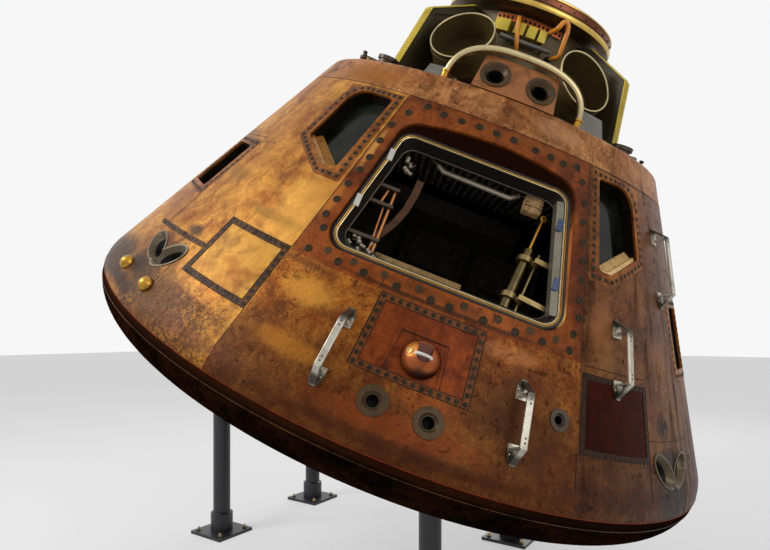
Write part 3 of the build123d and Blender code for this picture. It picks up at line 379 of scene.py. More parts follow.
crazed_right = span(group, place["Angle"], -33.0, -14.0, 1.0, 0.0)
crack = times(group, crack, crazed_high, crazed_left, crazed_right, start["Crazing"])
colour = blend(group, crack, colour, CRACK_TINT)
cell_sockets = {"Vector": place["Unrolled"], "Scale": 105.0, "Randomness": 0.18}
cells = put(group, "ShaderNodeTexVoronoi", cell_sockets, voronoi_dimensions="2D").outputs["Distance"]
comb = math_node(group, "MULTIPLY", span(group, cells, 0.28, 0.6), start["Comb"])
colour = blend(group, math_node(group, "MULTIPLY", comb, 0.35), colour, start["Dark"])
foot = math_node(group, "MULTIPLY", span(group, place["Height"], 0.62, 1.02, 1.0, 0.0), start["Foot"])
colour = blend(group, foot, colour, start["Dark"])
above_foot = span(group, place["Height"], 0.62, 0.65)
# painted shade: what lies below the skin, in cuts and recesses, is painted with the dark recess colour
below_skin = times(group, span(group, place["Depth"], 0.005, 0.016), above_foot)
colour = blend(group, below_skin, colour, start["Recess_Shade"])
dull = math_node(group, "MAXIMUM", spoiled, streak)
relief = patches
for mask, deep in ((crack, 0.45), (comb, 0.25), (grain, 0.2), (spoiled, 0.35)):
    relief = math_node(group, "MULTIPLY_ADD", mask, -deep, relief)
send(group, end, {"Color": colour, "Roughness": span(group, dull, 0.0, 0.8, 0.42, 0.75), "Height": relief})
print("group", group.name, "has", len(group.nodes), "nodes")

# %% [markdown]
# ### Scorch marks and painted light
# Round the nozzles and below the windows the char is darker. A mark is a soft ellipse at an angle and a
# height, with a ragged edge, so the same group can place every mark that the photograph shows: scorch and
# stains, and painted highlights and painted shade alike. A mark can also be kept to what lies below the skin,
# such as the slanting sides of the hatch opening, where it paints a highlight on the lit part of the reveal.

# %% Group for scorch marks and painted light
mark_inputs = [("Angle", "Float", 0.0), ("Height", "Float", 1.0), ("Wide", "Float", 4.0),
               ("Tall", "Float", 0.1), ("Inside", "Float", 0.0)]
group, start, end = new_group("scorch_and_painted_light", mark_inputs, [("Mask", "Float")])
place = use_group(group, "capsule place").outputs
squares = []
for label, size in (("Angle", "Wide"), ("Height", "Tall")):
    offset = math_node(group, "SUBTRACT", place[label], start[label])
    share = math_node(group, "DIVIDE", offset, start[size])
    squares.append(math_node(group, "MULTIPLY", share, share))
far_off = math_node(group, "SQRT", math_node(group, "ADD", *squares))
ragged = math_node(group, "MULTIPLY_ADD", noise(group, place["Position"], 14, 6, 0.65), 0.9, far_off)
above = math_node(group, "MULTIPLY", span(group, place["Depth"], 0.002, 0.010, 1.0, 0.0), start["Inside"])
mask = span(group, ragged, 0.75, 1.5, 1.0, 0.0)
send(group, end, {"Mask": math_node(group, "MULTIPLY", mask, math_node(group, "SUBTRACT", 1.0, above))})
print("group", group.name, "asks for", [label for label, kind, default in mark_inputs])

# %% [markdown]
# ### Worn metal and coats
# Bare metal is told by its gloss, so its roughness has to vary: brushed lines, and smears where hands and
# heat dulled it. A painted part chips to the metal below. One group gives colour, roughness and relief for
# both, and whether a part is metal stays a plain number on the shader.

# %% Worn metal group
worn_inputs = [
    ("Clean", "Color", (0.8, 0.8, 0.8, 1)), ("Soiled", "Color", (0.3, 0.3, 0.3, 1)),
    ("Soil", "Float", 0.4), ("Scale", "Float", 12.0), ("Smooth", "Float", 0.25), ("Dull", "Float", 0.5),
]
group, start, end = new_group("worn metal", worn_inputs, skin_outputs)
point = put(group, "ShaderNodeTexCoord").outputs["Object"]
broad = noise(group, point, start["Scale"], 6, 0.6, 0.6)
small = noise(group, point, math_node(group, "MULTIPLY", start["Scale"], 9.0), 5, 0.7)
lines = noise(group, stretch(group, point, (3, 3, 60)), start["Scale"], 3, 0.5)
soiled = math_node(group, "MULTIPLY_ADD", span(group, broad, 0.45, 0.7), 0.7, span(group, small, 0.6, 0.72))
soiled = math_node(group, "MULTIPLY", soiled, start["Soil"], clamp=True)
colour = blend(group, soiled, start["Clean"], start["Soiled"])
shine = math_node(group, "MULTIPLY_ADD", span(group, lines, 0.4, 0.7), 0.12, times(group, soiled, 0.8))
dulling = math_node(group, "SUBTRACT", start["Dull"], start["Smooth"])
gloss = math_node(group, "MULTIPLY_ADD", shine, dulling, start["Smooth"])
relief = math_node(group, "MULTIPLY_ADD", small, 0.3, times(group, lines, 0.2))
send(group, end, {"Color": colour, "Roughness": gloss, "Height": relief})
print("group", group.name, "has", len(group.nodes), "nodes")

# %% [markdown]
# ### Cloth
# Straps, couch covers and the bag are woven. Two waves at right angles give threads over and under each
# other, and a little noise keeps the cloth from looking new.

# %% Cloth group
cloth_inputs = [("Yarn", "Color", (0.5, 0.5, 0.4, 1)), ("Shade", "Color", (0.2, 0.2, 0.15, 1)),
                ("Threads", "Float", 260.0)]
group, start, end = new_group("woven cloth", cloth_inputs, skin_outputs)
point = put(group, "ShaderNodeTexCoord").outputs["Object"]
wave = {"Vector": point, "Scale": start["Threads"], "Distortion": 0.6}
warp = put(group, "ShaderNodeTexWave", wave, bands_direction="X").outputs["Fac"]
weft = put(group, "ShaderNodeTexWave", wave, bands_direction="Z").outputs["Fac"]
thread = math_node(group, "MULTIPLY", warp, weft)
grime = noise(group, point, 14, 6, 0.6, 0.8)
mixed = math_node(group, "MULTIPLY_ADD", thread, 0.35, span(group, grime, 0.35, 0.7, 0.65, 0.1))
send(group, end, {
    "Color": blend(group, mixed, start["Shade"], start["Yarn"]),
    "Roughness": span(group, thread, 0.0, 1.0, 0.95, 0.75),
    "Height": thread,
})
print("group", group.name, "has", len(group.nodes), "nodes")

# %% [markdown]
# ### Materials from the groups
# Every finish on the capsule is one of three kinds. A material could be built node by node each time, but a
# function places the group, lays the scorch marks and the painted highlights and shade over its colour and
# feeds the shader, so that a finish is one line of its own colours and shares. The shader itself stays in
# the material.

# %% Three kinds of material


def finish_from(name, kind, sockets, metallic=0.0, bump=0.3, depth=0.002, marks=(), **shader):
    """A material whose colour, roughness and bump come from one of the groups."""
    made = bpy.data.materials.new(name)
    made.use_nodes = True
    tree = made.node_tree
    shading = tree.nodes["Principled BSDF"]
    source = use_group(tree, kind, sockets).outputs
    colour = source["Color"]
    for angle, height, wide, tall, tint, strength, *inside in marks:
        sockets = {"Angle": angle, "Height": height, "Wide": wide, "Tall": tall,
                   "Inside": float(bool(inside))}
        mask = use_group(tree, "scorch_and_painted_light", sockets).outputs[0]
        colour = blend(tree, math_node(tree, "MULTIPLY", mask, strength), colour, tint)
    relief = put(tree, "ShaderNodeBump", {"Strength": bump, "Distance": depth, "Height": source["Height"]})
    connect(tree, shading, {"Base Color": colour, "Roughness": source["Roughness"],
                            "Normal": relief.outputs[0],
                            "Metallic": metallic, **shader})
    return made


def skin(name, light, mid, dark, inner, streaks=0.5, pits=0.5, crazing=0.0, comb=0.3, foot=0.4, marks=(),
         metallic=0.3, bump=0.4, shine=0.12):
    """A burnt skin in three tones, with a dark recess colour, painted shade, for what is cut open."""
    sockets = {"Light": light, "Mid": mid, "Dark": dark, "Recess_Shade": inner, "Streaks": streaks, "Pits": pits,
               "Crazing": crazing, "Comb": comb, "Foot": foot}
    return finish_from(name, "burnt skin", sockets, metallic, bump, 0.003, marks,
                       **{"Specular IOR Level": shine})


def metal(name, clean, soiled, soil=0.4, scale=12.0, smooth=0.2, dull=0.55, metallic=1.0, **shader):
    """A worn metal or coat: its clean and soiled tones, how soiled it is, and how smooth and how dull."""
    sockets = {"Clean": clean, "Soiled": soiled, "Soil": soil, "Scale": scale, "Smooth": smooth, "Dull": dull}
    return finish_from(name, "worn metal", sockets, metallic, 0.15, 0.0006, **shader)


def cloth(name, yarn, shade, threads):
    """A woven cloth. More threads make a finer weave."""
    sockets = {"Yarn": yarn, "Shade": shade, "Threads": threads}
    return finish_from(name, "woven cloth", sockets, 0.0, 0.4, 0.001)


# %% [markdown]
# ### Skins of the shell
# The left of the shell is golden, the right is dark and the front between them is red-brown. One skin for all
# would be simpler, but the panels of the real shell were laid up and burnt apart, so each has its own tones.
# The split is partly painted light and shade as well: the left, on the key lamp's side, is painted lighter
# and the right darker. The marks in each list lay scorch, stains and bright wear on that panel, and on the
# hatch surround also painted highlights on the edges of the opening.

# %% Colours and marks
GOLD = rgb(222, 158, 62)
TAN = rgb(172, 108, 40)
BROWN = rgb(84, 44, 18)
CHAR = rgb(32, 21, 14)
RUST = rgb(132, 56, 18)
COPPER = rgb(184, 120, 74)
DEEP = rgb(56, 22, 10)

# angle and height of the middle, degrees wide, metres tall, tint, strength, and True where it lies inside
left_marks = [
    (-42.2, 0.990, 2.9, 0.042, CHAR, 0.85), (-46.5, 0.90, 3.4, 0.06, rgb(122, 60, 20), 0.8),
    (-46.5, 0.74, 7.5, 0.085, CHAR, 0.95), (-45, 0.845, 9, 0.12, rgb(74, 38, 16), 0.85),
    (-64, 1.50, 9, 0.05, BROWN, 0.6),
    (-62, 0.64, 14, 0.15, rgb(44, 28, 22), 0.9), (-27, 1.28, 7, 0.25, rgb(232, 172, 80), 0.5),
    (-37, 0.69, 13, 0.15, rgb(74, 44, 15), 0.85), (-30, 0.66, 12, 0.04, rgb(84, 44, 14), 0.6),
    (-49, 0.645, 9, 0.05, rgb(40, 24, 14), 0.9), (-57, 0.68, 9, 0.13, rgb(62, 36, 18), 0.85),
    (-31, 1.20, 9, 0.035, rgb(120, 88, 34), 0.5), (-47, 1.30, 7, 0.05, BROWN, 0.5),
    (-58, 1.06, 10, 0.12, rgb(120, 60, 24), 0.5), (-25, 1.46, 2.5, 0.2, TAN, 0.4),
    (-55, 0.75, 5, 0.08, CHAR, 0.6),
]
right_marks = [
    (43.6, 0.935, 2.7, 0.05, CHAR, 0.9), (45.4, 0.655, 6.5, 0.17, CHAR, 0.92),
    (45.6, 0.76, 6.5, 0.10, CHAR, 0.75), (45.4, 0.82, 5.0, 0.04, CHAR, 0.75),
    (33, 0.66, 12, 0.07, DEEP, 0.6), (42, 1.55, 3, 0.35, BROWN, 0.5),
    (60, 0.8, 12, 0.3, rgb(66, 34, 16), 0.6),
    (52, 1.25, 6, 0.35, rgb(78, 42, 20), 0.5), (29, 1.14, 3.5, 0.06, rgb(150, 108, 62), 0.5),
    (27, 1.50, 2, 0.03, rgb(160, 104, 54), 0.5), (27.5, 1.27, 4, 0.12, COPPER, 0.35),
    (44, 1.2, 4, 0.12, COPPER, 0.3),
]
front_marks = [
    (-17, 1.00, 5.5, 0.07, GOLD, 0.5), (-16, 0.80, 7, 0.05, rgb(182, 116, 36), 0.55),
    (0, 0.70, 15, 0.07, RUST, 0.5), (12, 0.86, 3.6, 0.16, rgb(104, 70, 30), 0.5),
    (16, 0.82, 9, 0.2, rgb(64, 31, 12), 0.75), (12, 1.06, 6, 0.04, COPPER, 0.4),
    (9, 0.90, 7, 0.17, rgb(66, 33, 13), 0.55), (-20, 1.09, 8, 0.02, BROWN, 0.6),
    (3, 0.80, 5, 0.07, RUST, 0.5),
    (16, 0.98, 6, 0.08, rgb(80, 40, 20), 0.55), (2, 0.632, 26, 0.030, rgb(62, 27, 9), 0.6),
    (-11.5, 0.86, 1.6, 0.05, BROWN, 0.6), (-19, 0.90, 1.4, 0.03, CHAR, 0.4),
    (-14, 0.92, 1.2, 0.02, RUST, 0.5),
]
surround_marks = [
    # painted highlights: the two pale marks at the left edge of the opening, and the two inside marks on the
    # lit lower right of its reveal
    (-22.8, 1.36, 1.2, 0.12, rgb(190, 116, 44), 0.6), (-22.6, 1.62, 1.0, 0.12, rgb(212, 150, 74), 0.7),
    (21.3, 1.23, 2.6, 0.11, rgb(244, 190, 120), 1.0, True),
    (21.3, 1.47, 2.4, 0.27, rgb(192, 116, 60), 0.95, True),
    (0, 1.128, 22, 0.012, CHAR, 0.75), (0, 1.93, 22, 0.02, CHAR, 0.5),
    (23.5, 1.5, 3.2, 0.55, rgb(70, 30, 12), 0.65), (5, 1.89, 20, 0.02, rgb(132, 78, 30), 0.4),
    (-4, 1.16, 14, 0.02, BROWN, 0.4),
]
aft_marks = [(0, 0.560, 900, 0.022, rgb(66, 34, 18), 0.45), (-30, 0.545, 40, 0.020, rgb(30, 18, 13), 0.7),
             (32, 0.555, 26, 0.05, rgb(22, 13, 9), 0.85)]
crown_marks = [(-40, 1.97, 17, 0.09, rgb(146, 86, 20), 0.85), (14, 1.99, 9, 0.06, rgb(206, 150, 106), 0.4)]
marked = (left_marks, right_marks, front_marks, surround_marks, aft_marks, crown_marks)
print("marks", sum(len(marks) for marks in marked))

# %% Skins
# painted shade for the sides of cuts and recesses below the skin
CUT_PAINTED_SHADE = rgb(24, 16, 10)
# partly painted light and shade: the left skin's tones are lighter, as on the key lamp's side, and the right
# skin's darker
shell_left_skin = skin("shell_left_skin", GOLD, TAN, BROWN, rgb(26, 18, 11), 0.35, 0.5, 0.95, 0.6, 0.35,
                       left_marks)
shell_right_skin = skin("shell_right_skin", rgb(142, 92, 44), rgb(98, 54, 22), rgb(40, 18, 8), CUT_PAINTED_SHADE,
                        0.6, 0.85, 0.0, 0.2, 0.4, right_marks)
shell_back_skin = skin("shell_back_skin", rgb(170, 114, 54), rgb(128, 74, 32), rgb(64, 34, 15), DEEP,
                       0.7, 0.5, 0.0, 0.4)
front_skin = skin("front_skin", rgb(190, 120, 42), rgb(136, 74, 24), rgb(58, 27, 11), DEEP,
                  0.3, 0.95, 0.8, 0.5, 0.7, front_marks)
surround_skin = skin("surround_skin", rgb(150, 78, 28), rgb(112, 54, 18), rgb(46, 20, 8), rgb(44, 18, 8),
                     0.25, 0.5, 0.0, 0.0, 0.0, surround_marks)
crown_skin = skin("crown_skin", rgb(206, 144, 88), rgb(158, 100, 52), rgb(60, 31, 14), DEEP,
                  0.4, 0.75, 0.0, 0.1, 0.0, crown_marks)
left_panel_skin = skin("left_panel_skin", rgb(208, 154, 62), rgb(160, 108, 38), rgb(92, 56, 20), BROWN,
                       0.15, 0.25, 0.0, 1.0, 0.1)
service_skin = skin("service_skin", rgb(146, 68, 20), rgb(112, 48, 14), rgb(52, 21, 8), DEEP,
                    0.2, 0.5, 0.0, 0.1, 0.0)
maroon_skin = skin("maroon_skin", rgb(66, 20, 8), rgb(46, 14, 6), rgb(20, 7, 4), DEEP,
                   0.4, 0.3, 0.0, 0.2, 0.0, metallic=0.1, shine=0.03)
aft_skin = skin("aft_skin", rgb(46, 25, 15), rgb(15, 10, 8), rgb(5, 4, 4), CHAR,
                0.35, 1.0, 0.0, 0.3, 0.0, aft_marks, metallic=0.0, bump=0.9, shine=0.0)
frame_skin = skin("frame_skin", rgb(178, 110, 44), rgb(128, 72, 26), rgb(62, 32, 13), CUT_PAINTED_SHADE,
                  0.2, 0.6, 0.0, 0.0, 0.0)
strip_skin = skin("strip_skin", rgb(112, 72, 32), rgb(58, 38, 18), rgb(22, 15, 9), CHAR,
                  0.1, 1.0, 0.0, 0.0, 0.0, metallic=0.1, bump=0.6)
window_strip_skin = skin("window_strip_skin", rgb(156, 102, 46), rgb(112, 66, 27), rgb(44, 26, 13), CHAR,
                         0.1, 0.9, 0.0, 0.0, 0.0, metallic=0.1, bump=0.6)
print("skins", [m.name for m in bpy.data.materials if m.name.endswith("skin")])

# %% [markdown]
# ### Metals, coats and cloth
# Everything that isn't skin is metal, rubber, filler, paint or cloth. Filler and char hardly mirror anything,
# so they get a low specular level: roughness alone would still leave a pale film on them at a low angle.

# %% Metals
MATT = {"Specular IOR Level": 0.15}
aluminium = metal("aluminium", rgb(176, 168, 152), rgb(92, 84, 72), 0.55, 20, 0.34, 0.6)
bright_rim = metal("bright_rim", rgb(190, 170, 128), rgb(92, 76, 50), 0.5, 18, 0.25, 0.55)
dark_steel = metal("dark_steel", rgb(78, 66, 54), rgb(36, 30, 26), 0.6, 24, 0.4, 0.7, 0.7)
nozzle_grey = metal("nozzle_grey", rgb(104, 90, 68), rgb(38, 31, 23), 0.85, 20, 0.42, 0.7, 0.6)
port_grey = metal("port_grey", rgb(76, 58, 36), rgb(36, 27, 17), 0.7, 24, 0.4, 0.65, 0.3,
                  **{"Specular IOR Level": 0.2})
nozzle_dark = metal("nozzle_dark", rgb(92, 78, 54), rgb(30, 24, 18), 0.9, 26, 0.35, 0.65, 0.6)
# partly soot and partly painted shade in the deep nozzle throats
throat_soot_and_shade = metal("throat_soot_and_shade", rgb(14, 13, 13), rgb(8, 7, 7), 0.5, 20, 0.6, 0.9, 0.0, **MATT)
brass = metal("brass", rgb(186, 138, 58), rgb(80, 52, 22), 0.6, 26, 0.28, 0.55)
dull_brass = metal("dull_brass", rgb(136, 116, 76), rgb(58, 48, 34), 0.6, 26, 0.35, 0.6, 0.9)
# painted shade along the lower part of the vent hood, and a painted highlight on its upper left
cover_painted_light_marks = [(1.6, 0.890, 3.4, 0.036, rgb(44, 17, 8), 0.95),
               (-1.2, 0.972, 1.3, 0.030, rgb(226, 142, 56), 0.9)]
copper_cover = metal("copper_cover", rgb(164, 84, 34), rgb(84, 36, 15), 0.7, 9, 0.32, 0.6, 0.6,
                     marks=cover_painted_light_marks)
block_copper = metal("block_copper", rgb(150, 92, 46), rgb(72, 38, 18), 0.85, 12, 0.35, 0.6, 0.5)
ring_bronze = metal("ring_bronze", rgb(84, 60, 34), rgb(36, 25, 15), 0.7, 10, 0.35, 0.6, 0.7)
ring_gold = metal("ring_gold", rgb(206, 170, 88), rgb(112, 76, 36), 0.5, 10, 0.28, 0.55)
ring_rose = metal("ring_rose", rgb(112, 66, 48), rgb(54, 30, 22), 0.5, 10, 0.3, 0.6)
champagne = metal("champagne", rgb(196, 178, 134), rgb(112, 96, 66), 0.45, 12, 0.32, 0.6)
face_grey = metal("face_grey", rgb(128, 122, 106), rgb(66, 60, 48), 0.5, 14, 0.35, 0.6, 0.6)
orange_metal = metal("orange_metal", rgb(186, 92, 36), rgb(104, 46, 22), 0.5, 14, 0.35, 0.6, 0.5)
rim_dark = metal("rim_dark", rgb(30, 25, 21), rgb(14, 11, 10), 0.6, 24, 0.45, 0.75, 0.3)
barrel_dark = metal("barrel_dark", rgb(92, 80, 54), rgb(34, 28, 20), 0.6, 22, 0.25, 0.5)
rod_copper = metal("rod_copper", rgb(176, 116, 70), rgb(96, 58, 34), 0.5, 20, 0.3, 0.6, 0.8)
bar_pale = metal("bar_pale", rgb(176, 164, 142), rgb(104, 94, 78), 0.5, 20, 0.35, 0.6, 0.4)
switch_grey = metal("switch_grey", rgb(104, 102, 98), rgb(54, 52, 52), 0.5, 30, 0.4, 0.6, 0.3)
screw_dark = metal("screw_dark", rgb(46, 36, 24), rgb(16, 12, 9), 0.8, 40, 0.4, 0.7, 0.4, **MATT)
print("materials with the metals", len(bpy.data.materials))

# %% Coats, rubber and filler
yellow_coat = metal("yellow_coat", rgb(204, 178, 50), rgb(108, 92, 30), 0.5, 9, 0.4, 0.65, 0.25)
web_coat = metal("web_coat", rgb(58, 48, 22), rgb(26, 21, 12), 0.8, 9, 0.45, 0.7, 0.3)
olive_coat = metal("olive_coat", rgb(88, 73, 38), rgb(42, 34, 18), 0.8, 7, 0.42, 0.7, 0.3)
grey_coat = metal("grey_coat", rgb(112, 108, 100), rgb(64, 60, 54), 0.5, 10, 0.45, 0.7, 0.3)
deck_coat = metal("deck_coat", rgb(92, 80, 56), rgb(44, 38, 28), 0.8, 8, 0.45, 0.7, 0.3)
cabin_coat = metal("cabin_coat", rgb(48, 46, 46), rgb(24, 23, 24), 0.5, 10, 0.5, 0.75, 0.0)
cabin_pale = metal("cabin_pale", rgb(110, 102, 86), rgb(62, 56, 46), 0.5, 10, 0.45, 0.7, 0.0)
stand_coat = metal("stand_coat", rgb(36, 36, 40), rgb(20, 20, 23), 0.5, 6, 0.35, 0.6, 0.0)
white_plate = metal("white_plate", rgb(232, 228, 216), rgb(176, 168, 150), 0.3, 40, 0.35, 0.6, 0.0)
blue_plate = metal("blue_plate", rgb(32, 56, 100), rgb(20, 32, 58), 0.4, 40, 0.35, 0.6, 0.0)
rubber = metal("rubber", rgb(40, 38, 38), rgb(24, 22, 22), 0.4, 30, 0.5, 0.75, 0.0)
orange_rubber = metal("orange_rubber", rgb(226, 142, 40), rgb(150, 84, 20), 0.4, 24, 0.35, 0.6, 0.0)
red_seal = metal("red_seal", rgb(128, 48, 20), rgb(52, 22, 11), 0.95, 14, 0.5, 0.75, 0.0,
                 **{"Specular IOR Level": 0.12})
plug_brown = metal("plug_brown", rgb(50, 39, 22), rgb(20, 14, 8), 0.9, 30, 0.45, 0.75, 0.2, **MATT)
plug_grey = metal("plug_grey", rgb(74, 58, 34), rgb(30, 22, 13), 0.9, 30, 0.45, 0.75, 0.2, **MATT)
gap_black = metal("gap_black", rgb(38, 26, 20), rgb(18, 13, 11), 0.5, 20, 0.6, 0.85, 0.0, **MATT)
service_strip = metal("service_strip", rgb(112, 62, 24), rgb(40, 25, 13), 1.0, 26, 0.45, 0.75, 0.1, **MATT)
maroon_strip = metal("maroon_strip", rgb(60, 28, 14), rgb(26, 14, 9), 0.9, 26, 0.45, 0.75, 0.1, **MATT)
hood_red = metal("hood_red", rgb(88, 34, 14), rgb(40, 14, 7), 0.7, 14, 0.4, 0.7, 0.3)
# painted light: one filler in two copies, the right sill painted pale as a highlight and the left sill dimmer
window_sill_painted_lit = metal("window_sill_painted_lit", rgb(248, 204, 132), rgb(124, 70, 30), 0.8, 34, 0.35, 0.6, 0.2)
window_sill_painted_dimmer = metal("window_sill_painted_dimmer", rgb(190, 130, 58), rgb(84, 46, 20), 0.85, 34, 0.35, 0.6, 0.2)
print("materials with the coats", len(bpy.data.materials))

# %% Cloth and window panes
webbing = cloth("webbing", rgb(134, 92, 62), rgb(66, 44, 34), 420.0)
canvas = cloth("canvas", rgb(196, 158, 104), rgb(112, 84, 50), 300.0)
couch_cloth = cloth("couch_cloth", rgb(150, 140, 116), rgb(84, 76, 60), 220.0)

pane = bpy.data.materials.new("window_pane")
pane.use_nodes = True
tree = pane.node_tree
smear = noise(tree, put(tree, "ShaderNodeTexCoord").outputs["Object"], 6, 6, 0.6)
connect(tree, tree.nodes["Principled BSDF"], {
    "Base Color": blend(tree, span(tree, smear, 0.35, 0.7), rgb(7, 8, 8), rgb(30, 33, 26)),
    "Roughness": span(tree, smear, 0.4, 0.7, 0.05, 0.22), "Metallic": 0.0, **MATT})
print("materials", len(bpy.data.materials))

# %% [markdown]
# ### Handrails with dark feet
# A handrail is pale where hands polish it and nearly black on its brackets. Rail and brackets are one piece
# of the CAD model, so a second material on some of its faces would need their numbers. A scorch mark at each
# foot does it by place instead.

# %% Handrail finishes
# name: angle, and the heights of the lower and upper bracket
RAILS = {"left": (-10.3, 0.713, 1.006), "center": (14.4, 0.701, 0.990), "right": (31.0, 1.010, 1.311),
         "upper": (48.0, 1.416, 1.764)}
FOOT_WIDE, FOOT_TALL = 4.0, 0.042
FOOT_DARK = rgb(34, 28, 21)
rail_finishes = {}
for name, (angle, low, high) in RAILS.items():
    feet = [(angle, height, FOOT_WIDE, FOOT_TALL, FOOT_DARK, 0.85) for height in (low + 0.026, high - 0.004)]
    rail_finishes[f"handrail_{name}"] = metal(f"rail_{name}", rgb(182, 176, 162), rgb(96, 88, 76),
                                              0.5, 20, 0.34, 0.6, 0.9, marks=feet)
print("rails", list(rail_finishes))

# %% [markdown]
# ### Finishes on the CAD pieces
# The CAD model says which piece is which by name, so one table gives each its finish, and pieces of a kind,
# such as the posts and the panes, are told by a part of their name.

# %% Give the CAD pieces their finish
finishes = {
    "shell_left": shell_left_skin, "shell_right": shell_right_skin, "shell_back": shell_back_skin,
    "skirt_panel_front": front_skin, "hatch_surround": surround_skin, "shell_crown": crown_skin,
    "access_panel_left": left_panel_skin, "service_panel": service_skin, "access_panel_right": maroon_skin,
    "base_heat_shield": aft_skin, "hatch_rim": rim_dark, "vent_cover": copper_cover,
    "round_ports": port_grey, "small_port": dark_steel, "side_domes": brass,
    "thrusters_left": nozzle_grey, "thrusters_right": nozzle_dark,
    "thrusters_side_left": nozzle_grey, "thrusters_side_right": nozzle_grey,
    "tunnel": olive_coat, "tunnel_ring": ring_bronze, "tunnel_hatch": grey_coat, "forward_deck": deck_coat,
    "gussets": web_coat, "leg_wells": dark_steel, "mortar_left": olive_coat, "mortar_right": olive_coat,
    "nozzle_block": block_copper, "guard_tube": champagne, "tunnel_pads": yellow_coat,
    "hose_loops": orange_rubber, "forward_fittings": grey_coat, "main_panel": cabin_coat,
    "cabin_floor": cabin_coat, "cabin_lockers": cabin_pale,
    "couch_struts": dark_steel, "strut_barrel": barrel_dark, "strut_rod": brass, "strut_clamps": dull_brass,
    "hatch_rods": dark_steel, "stowage_bag": canvas,
}
for name, thing in nodes.items():
    if name.startswith("stand_post"):
        chosen = stand_coat
    elif name.startswith("handrail"):
        chosen = rail_finishes[name]
    elif "glass" in name:
        chosen = pane
    elif "window_frame" in name:
        chosen = frame_skin
    elif name.startswith("couch_") and name != "couch_struts":
        chosen = couch_cloth
    else:
        chosen = finishes.get(name, grey_coat)
    for slot in thing.material_slots:
        slot.material = chosen
print("CAD pieces with a finish", len(nodes))

# %% [markdown]
# ## Small parts
# Hundreds of plugs, screws and strips cover the shell. They could be placed by hand, but they repeat along
# edges, so a few helpers make them: one lofts rings of points, one turns a profile, one lays a strip on the
# cone and one sweeps a tube. Each piece then collects what is fixed to the same part of the capsule.

# %% Rings, turned parts and blocks


def loft(rings, loop=False):
    """Join rings of points, and close the two ends unless the last ring meets the first."""
    count = len(rings[0])
    points = [point for ring in rings for point in ring]
    faces = []
    for k in range(len(rings) if loop else len(rings) - 1):
        low, high = k * count, (k + 1) % len(rings) * count
        for i in range(count):
            j = (i + 1) % count
            faces.append((low + i, low + j, high + j, high + i))
    if not loop:
        faces += [tuple(range(count)), tuple(range(len(points) - count, len(points)))]
    return points, faces


def lathe(place, profile, sides, loop=False):
    """Turn (radius, height) pairs about a frame's z axis."""
    turns = [2 * pi * i / sides for i in range(sides)]
    rings = [[place @ Vector((r * cos(a), r * sin(a), h)) for a in turns] for r, h in profile]
    return loft(rings, loop)


def block(place, low, high, bevel=0.0):
    """A block between two corners of a frame, its upper edges cut back by a bevel."""
    (x0, y0, z0), (x1, y1, z1) = low, high
    rings = []
    for z, cut in ((z0, 0.0), (z1 - bevel, 0.0), (z1, bevel)):
        corners = ((x0 + cut, y0 + cut), (x1 - cut, y0 + cut), (x1 - cut, y1 - cut), (x0 + cut, y1 - cut))
        rings.append([place @ Vector((x, y, z)) for x, y in corners])
    return loft(rings)


print("faces of a block", len(block(Matrix(), (0, 0, 0), (1, 1, 1), 0.1)[1]))

# %% Tubes and strips along a path
RIBBON_SINK = 0.0012


def mitred(points, loop=False):
    """Each point of a path with the direction there, and how far a mitre stretches the section."""
    path = [Vector(p) for p in points]
    last = len(path) - 1
    turns = []
    for k, point in enumerate(path):
        back = path[k - 1] if loop or k else point
        ahead = path[(k + 1) % len(path)] if loop or k < last else point
        arms = [arm.normalized() for arm in (point - back, ahead - point) if arm.length]
        along = sum(arms, Vector()).normalized()
        turns.append((point, along, 1 / max(along.dot(arms[0]), 0.5)))
    return turns


def tube(points, radius, up, sides, loop=False):
    """A round section swept along a path."""
    rings = []
    for point, along, wide in mitred(points, loop):
        across = along.cross(Vector(up)).normalized()
        over = across.cross(along)
        ring = []
        for i in range(sides):
            a = 2 * pi * i / sides
            ring.append(point + across * (radius * wide * cos(a)) + over * (radius * sin(a)))
        rings.append(ring)
    return loft(rings, loop)


def walk(path, loop=False, step=0.035):
    """Places close together along straight runs between (angle, height) corners."""
    corners = list(path) + list(path[:1] if loop else [])
    steps = [corners[0]]
    for (a0, z0), (a1, z1) in zip(corners, corners[1:]):
        run = (on_cone(a1, z1).translation - on_cone(a0, z0).translation).length
        count = max(1, round(run / step))
        steps += [(a0 + (a1 - a0) * k / count, z0 + (z1 - z0) * k / count) for k in range(1, count + 1)]
    return steps[:-1] if loop else steps


def ribbon(path, width, lift, loop=False):
    """A strip laid on the cone along (angle, height) corners."""
    places = walk(path, loop)
    points = [on_cone(*place).translation for place in places]
    rings = []
    for (angle, height), (point, along, wide) in zip(places, mitred(points, loop)):
        out = on_cone(angle, height).to_3x3().col[2]
        half = along.cross(out) * (width / 2 * wide)
        rings.append([point + half * side + out * level
                      for side, level in ((-1, -RIBBON_SINK), (1, -RIBBON_SINK), (1, lift), (-1, lift))])
    return loft(rings, loop)


print("steps along a metre of cone", len(walk([(0, 0.8), (0, 0.8 + cos(CONE_SLOPE))])) - 1)

# %% One object from many shapes


def piece(name, parts, finish, body="capsule", crease=32):
    """One object made of closed shapes, with its finish, that moves with a body of the CAD model."""
    points, faces = [], []
    for corners, sides in parts:
        first = len(points)
        points += corners
        faces += [[first + i for i in side] for side in sides]
    mesh = bpy.data.meshes.new(name)
    mesh.from_pydata(points, [], faces)
    work = bmesh.new()
    work.from_mesh(mesh)
    bmesh.ops.recalc_face_normals(work, faces=work.faces)
    work.to_mesh(mesh)
    work.free()
    mesh.shade_smooth()
    mesh.set_sharp_from_angle(angle=radians(crease))
    mesh.materials.append(finish)
    made = bpy.data.objects.new(name, mesh)
    bpy.context.scene.collection.objects.link(made)
    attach(made, body)
    print(name, len(parts), "parts", len(mesh.polygons), "faces")
    return made


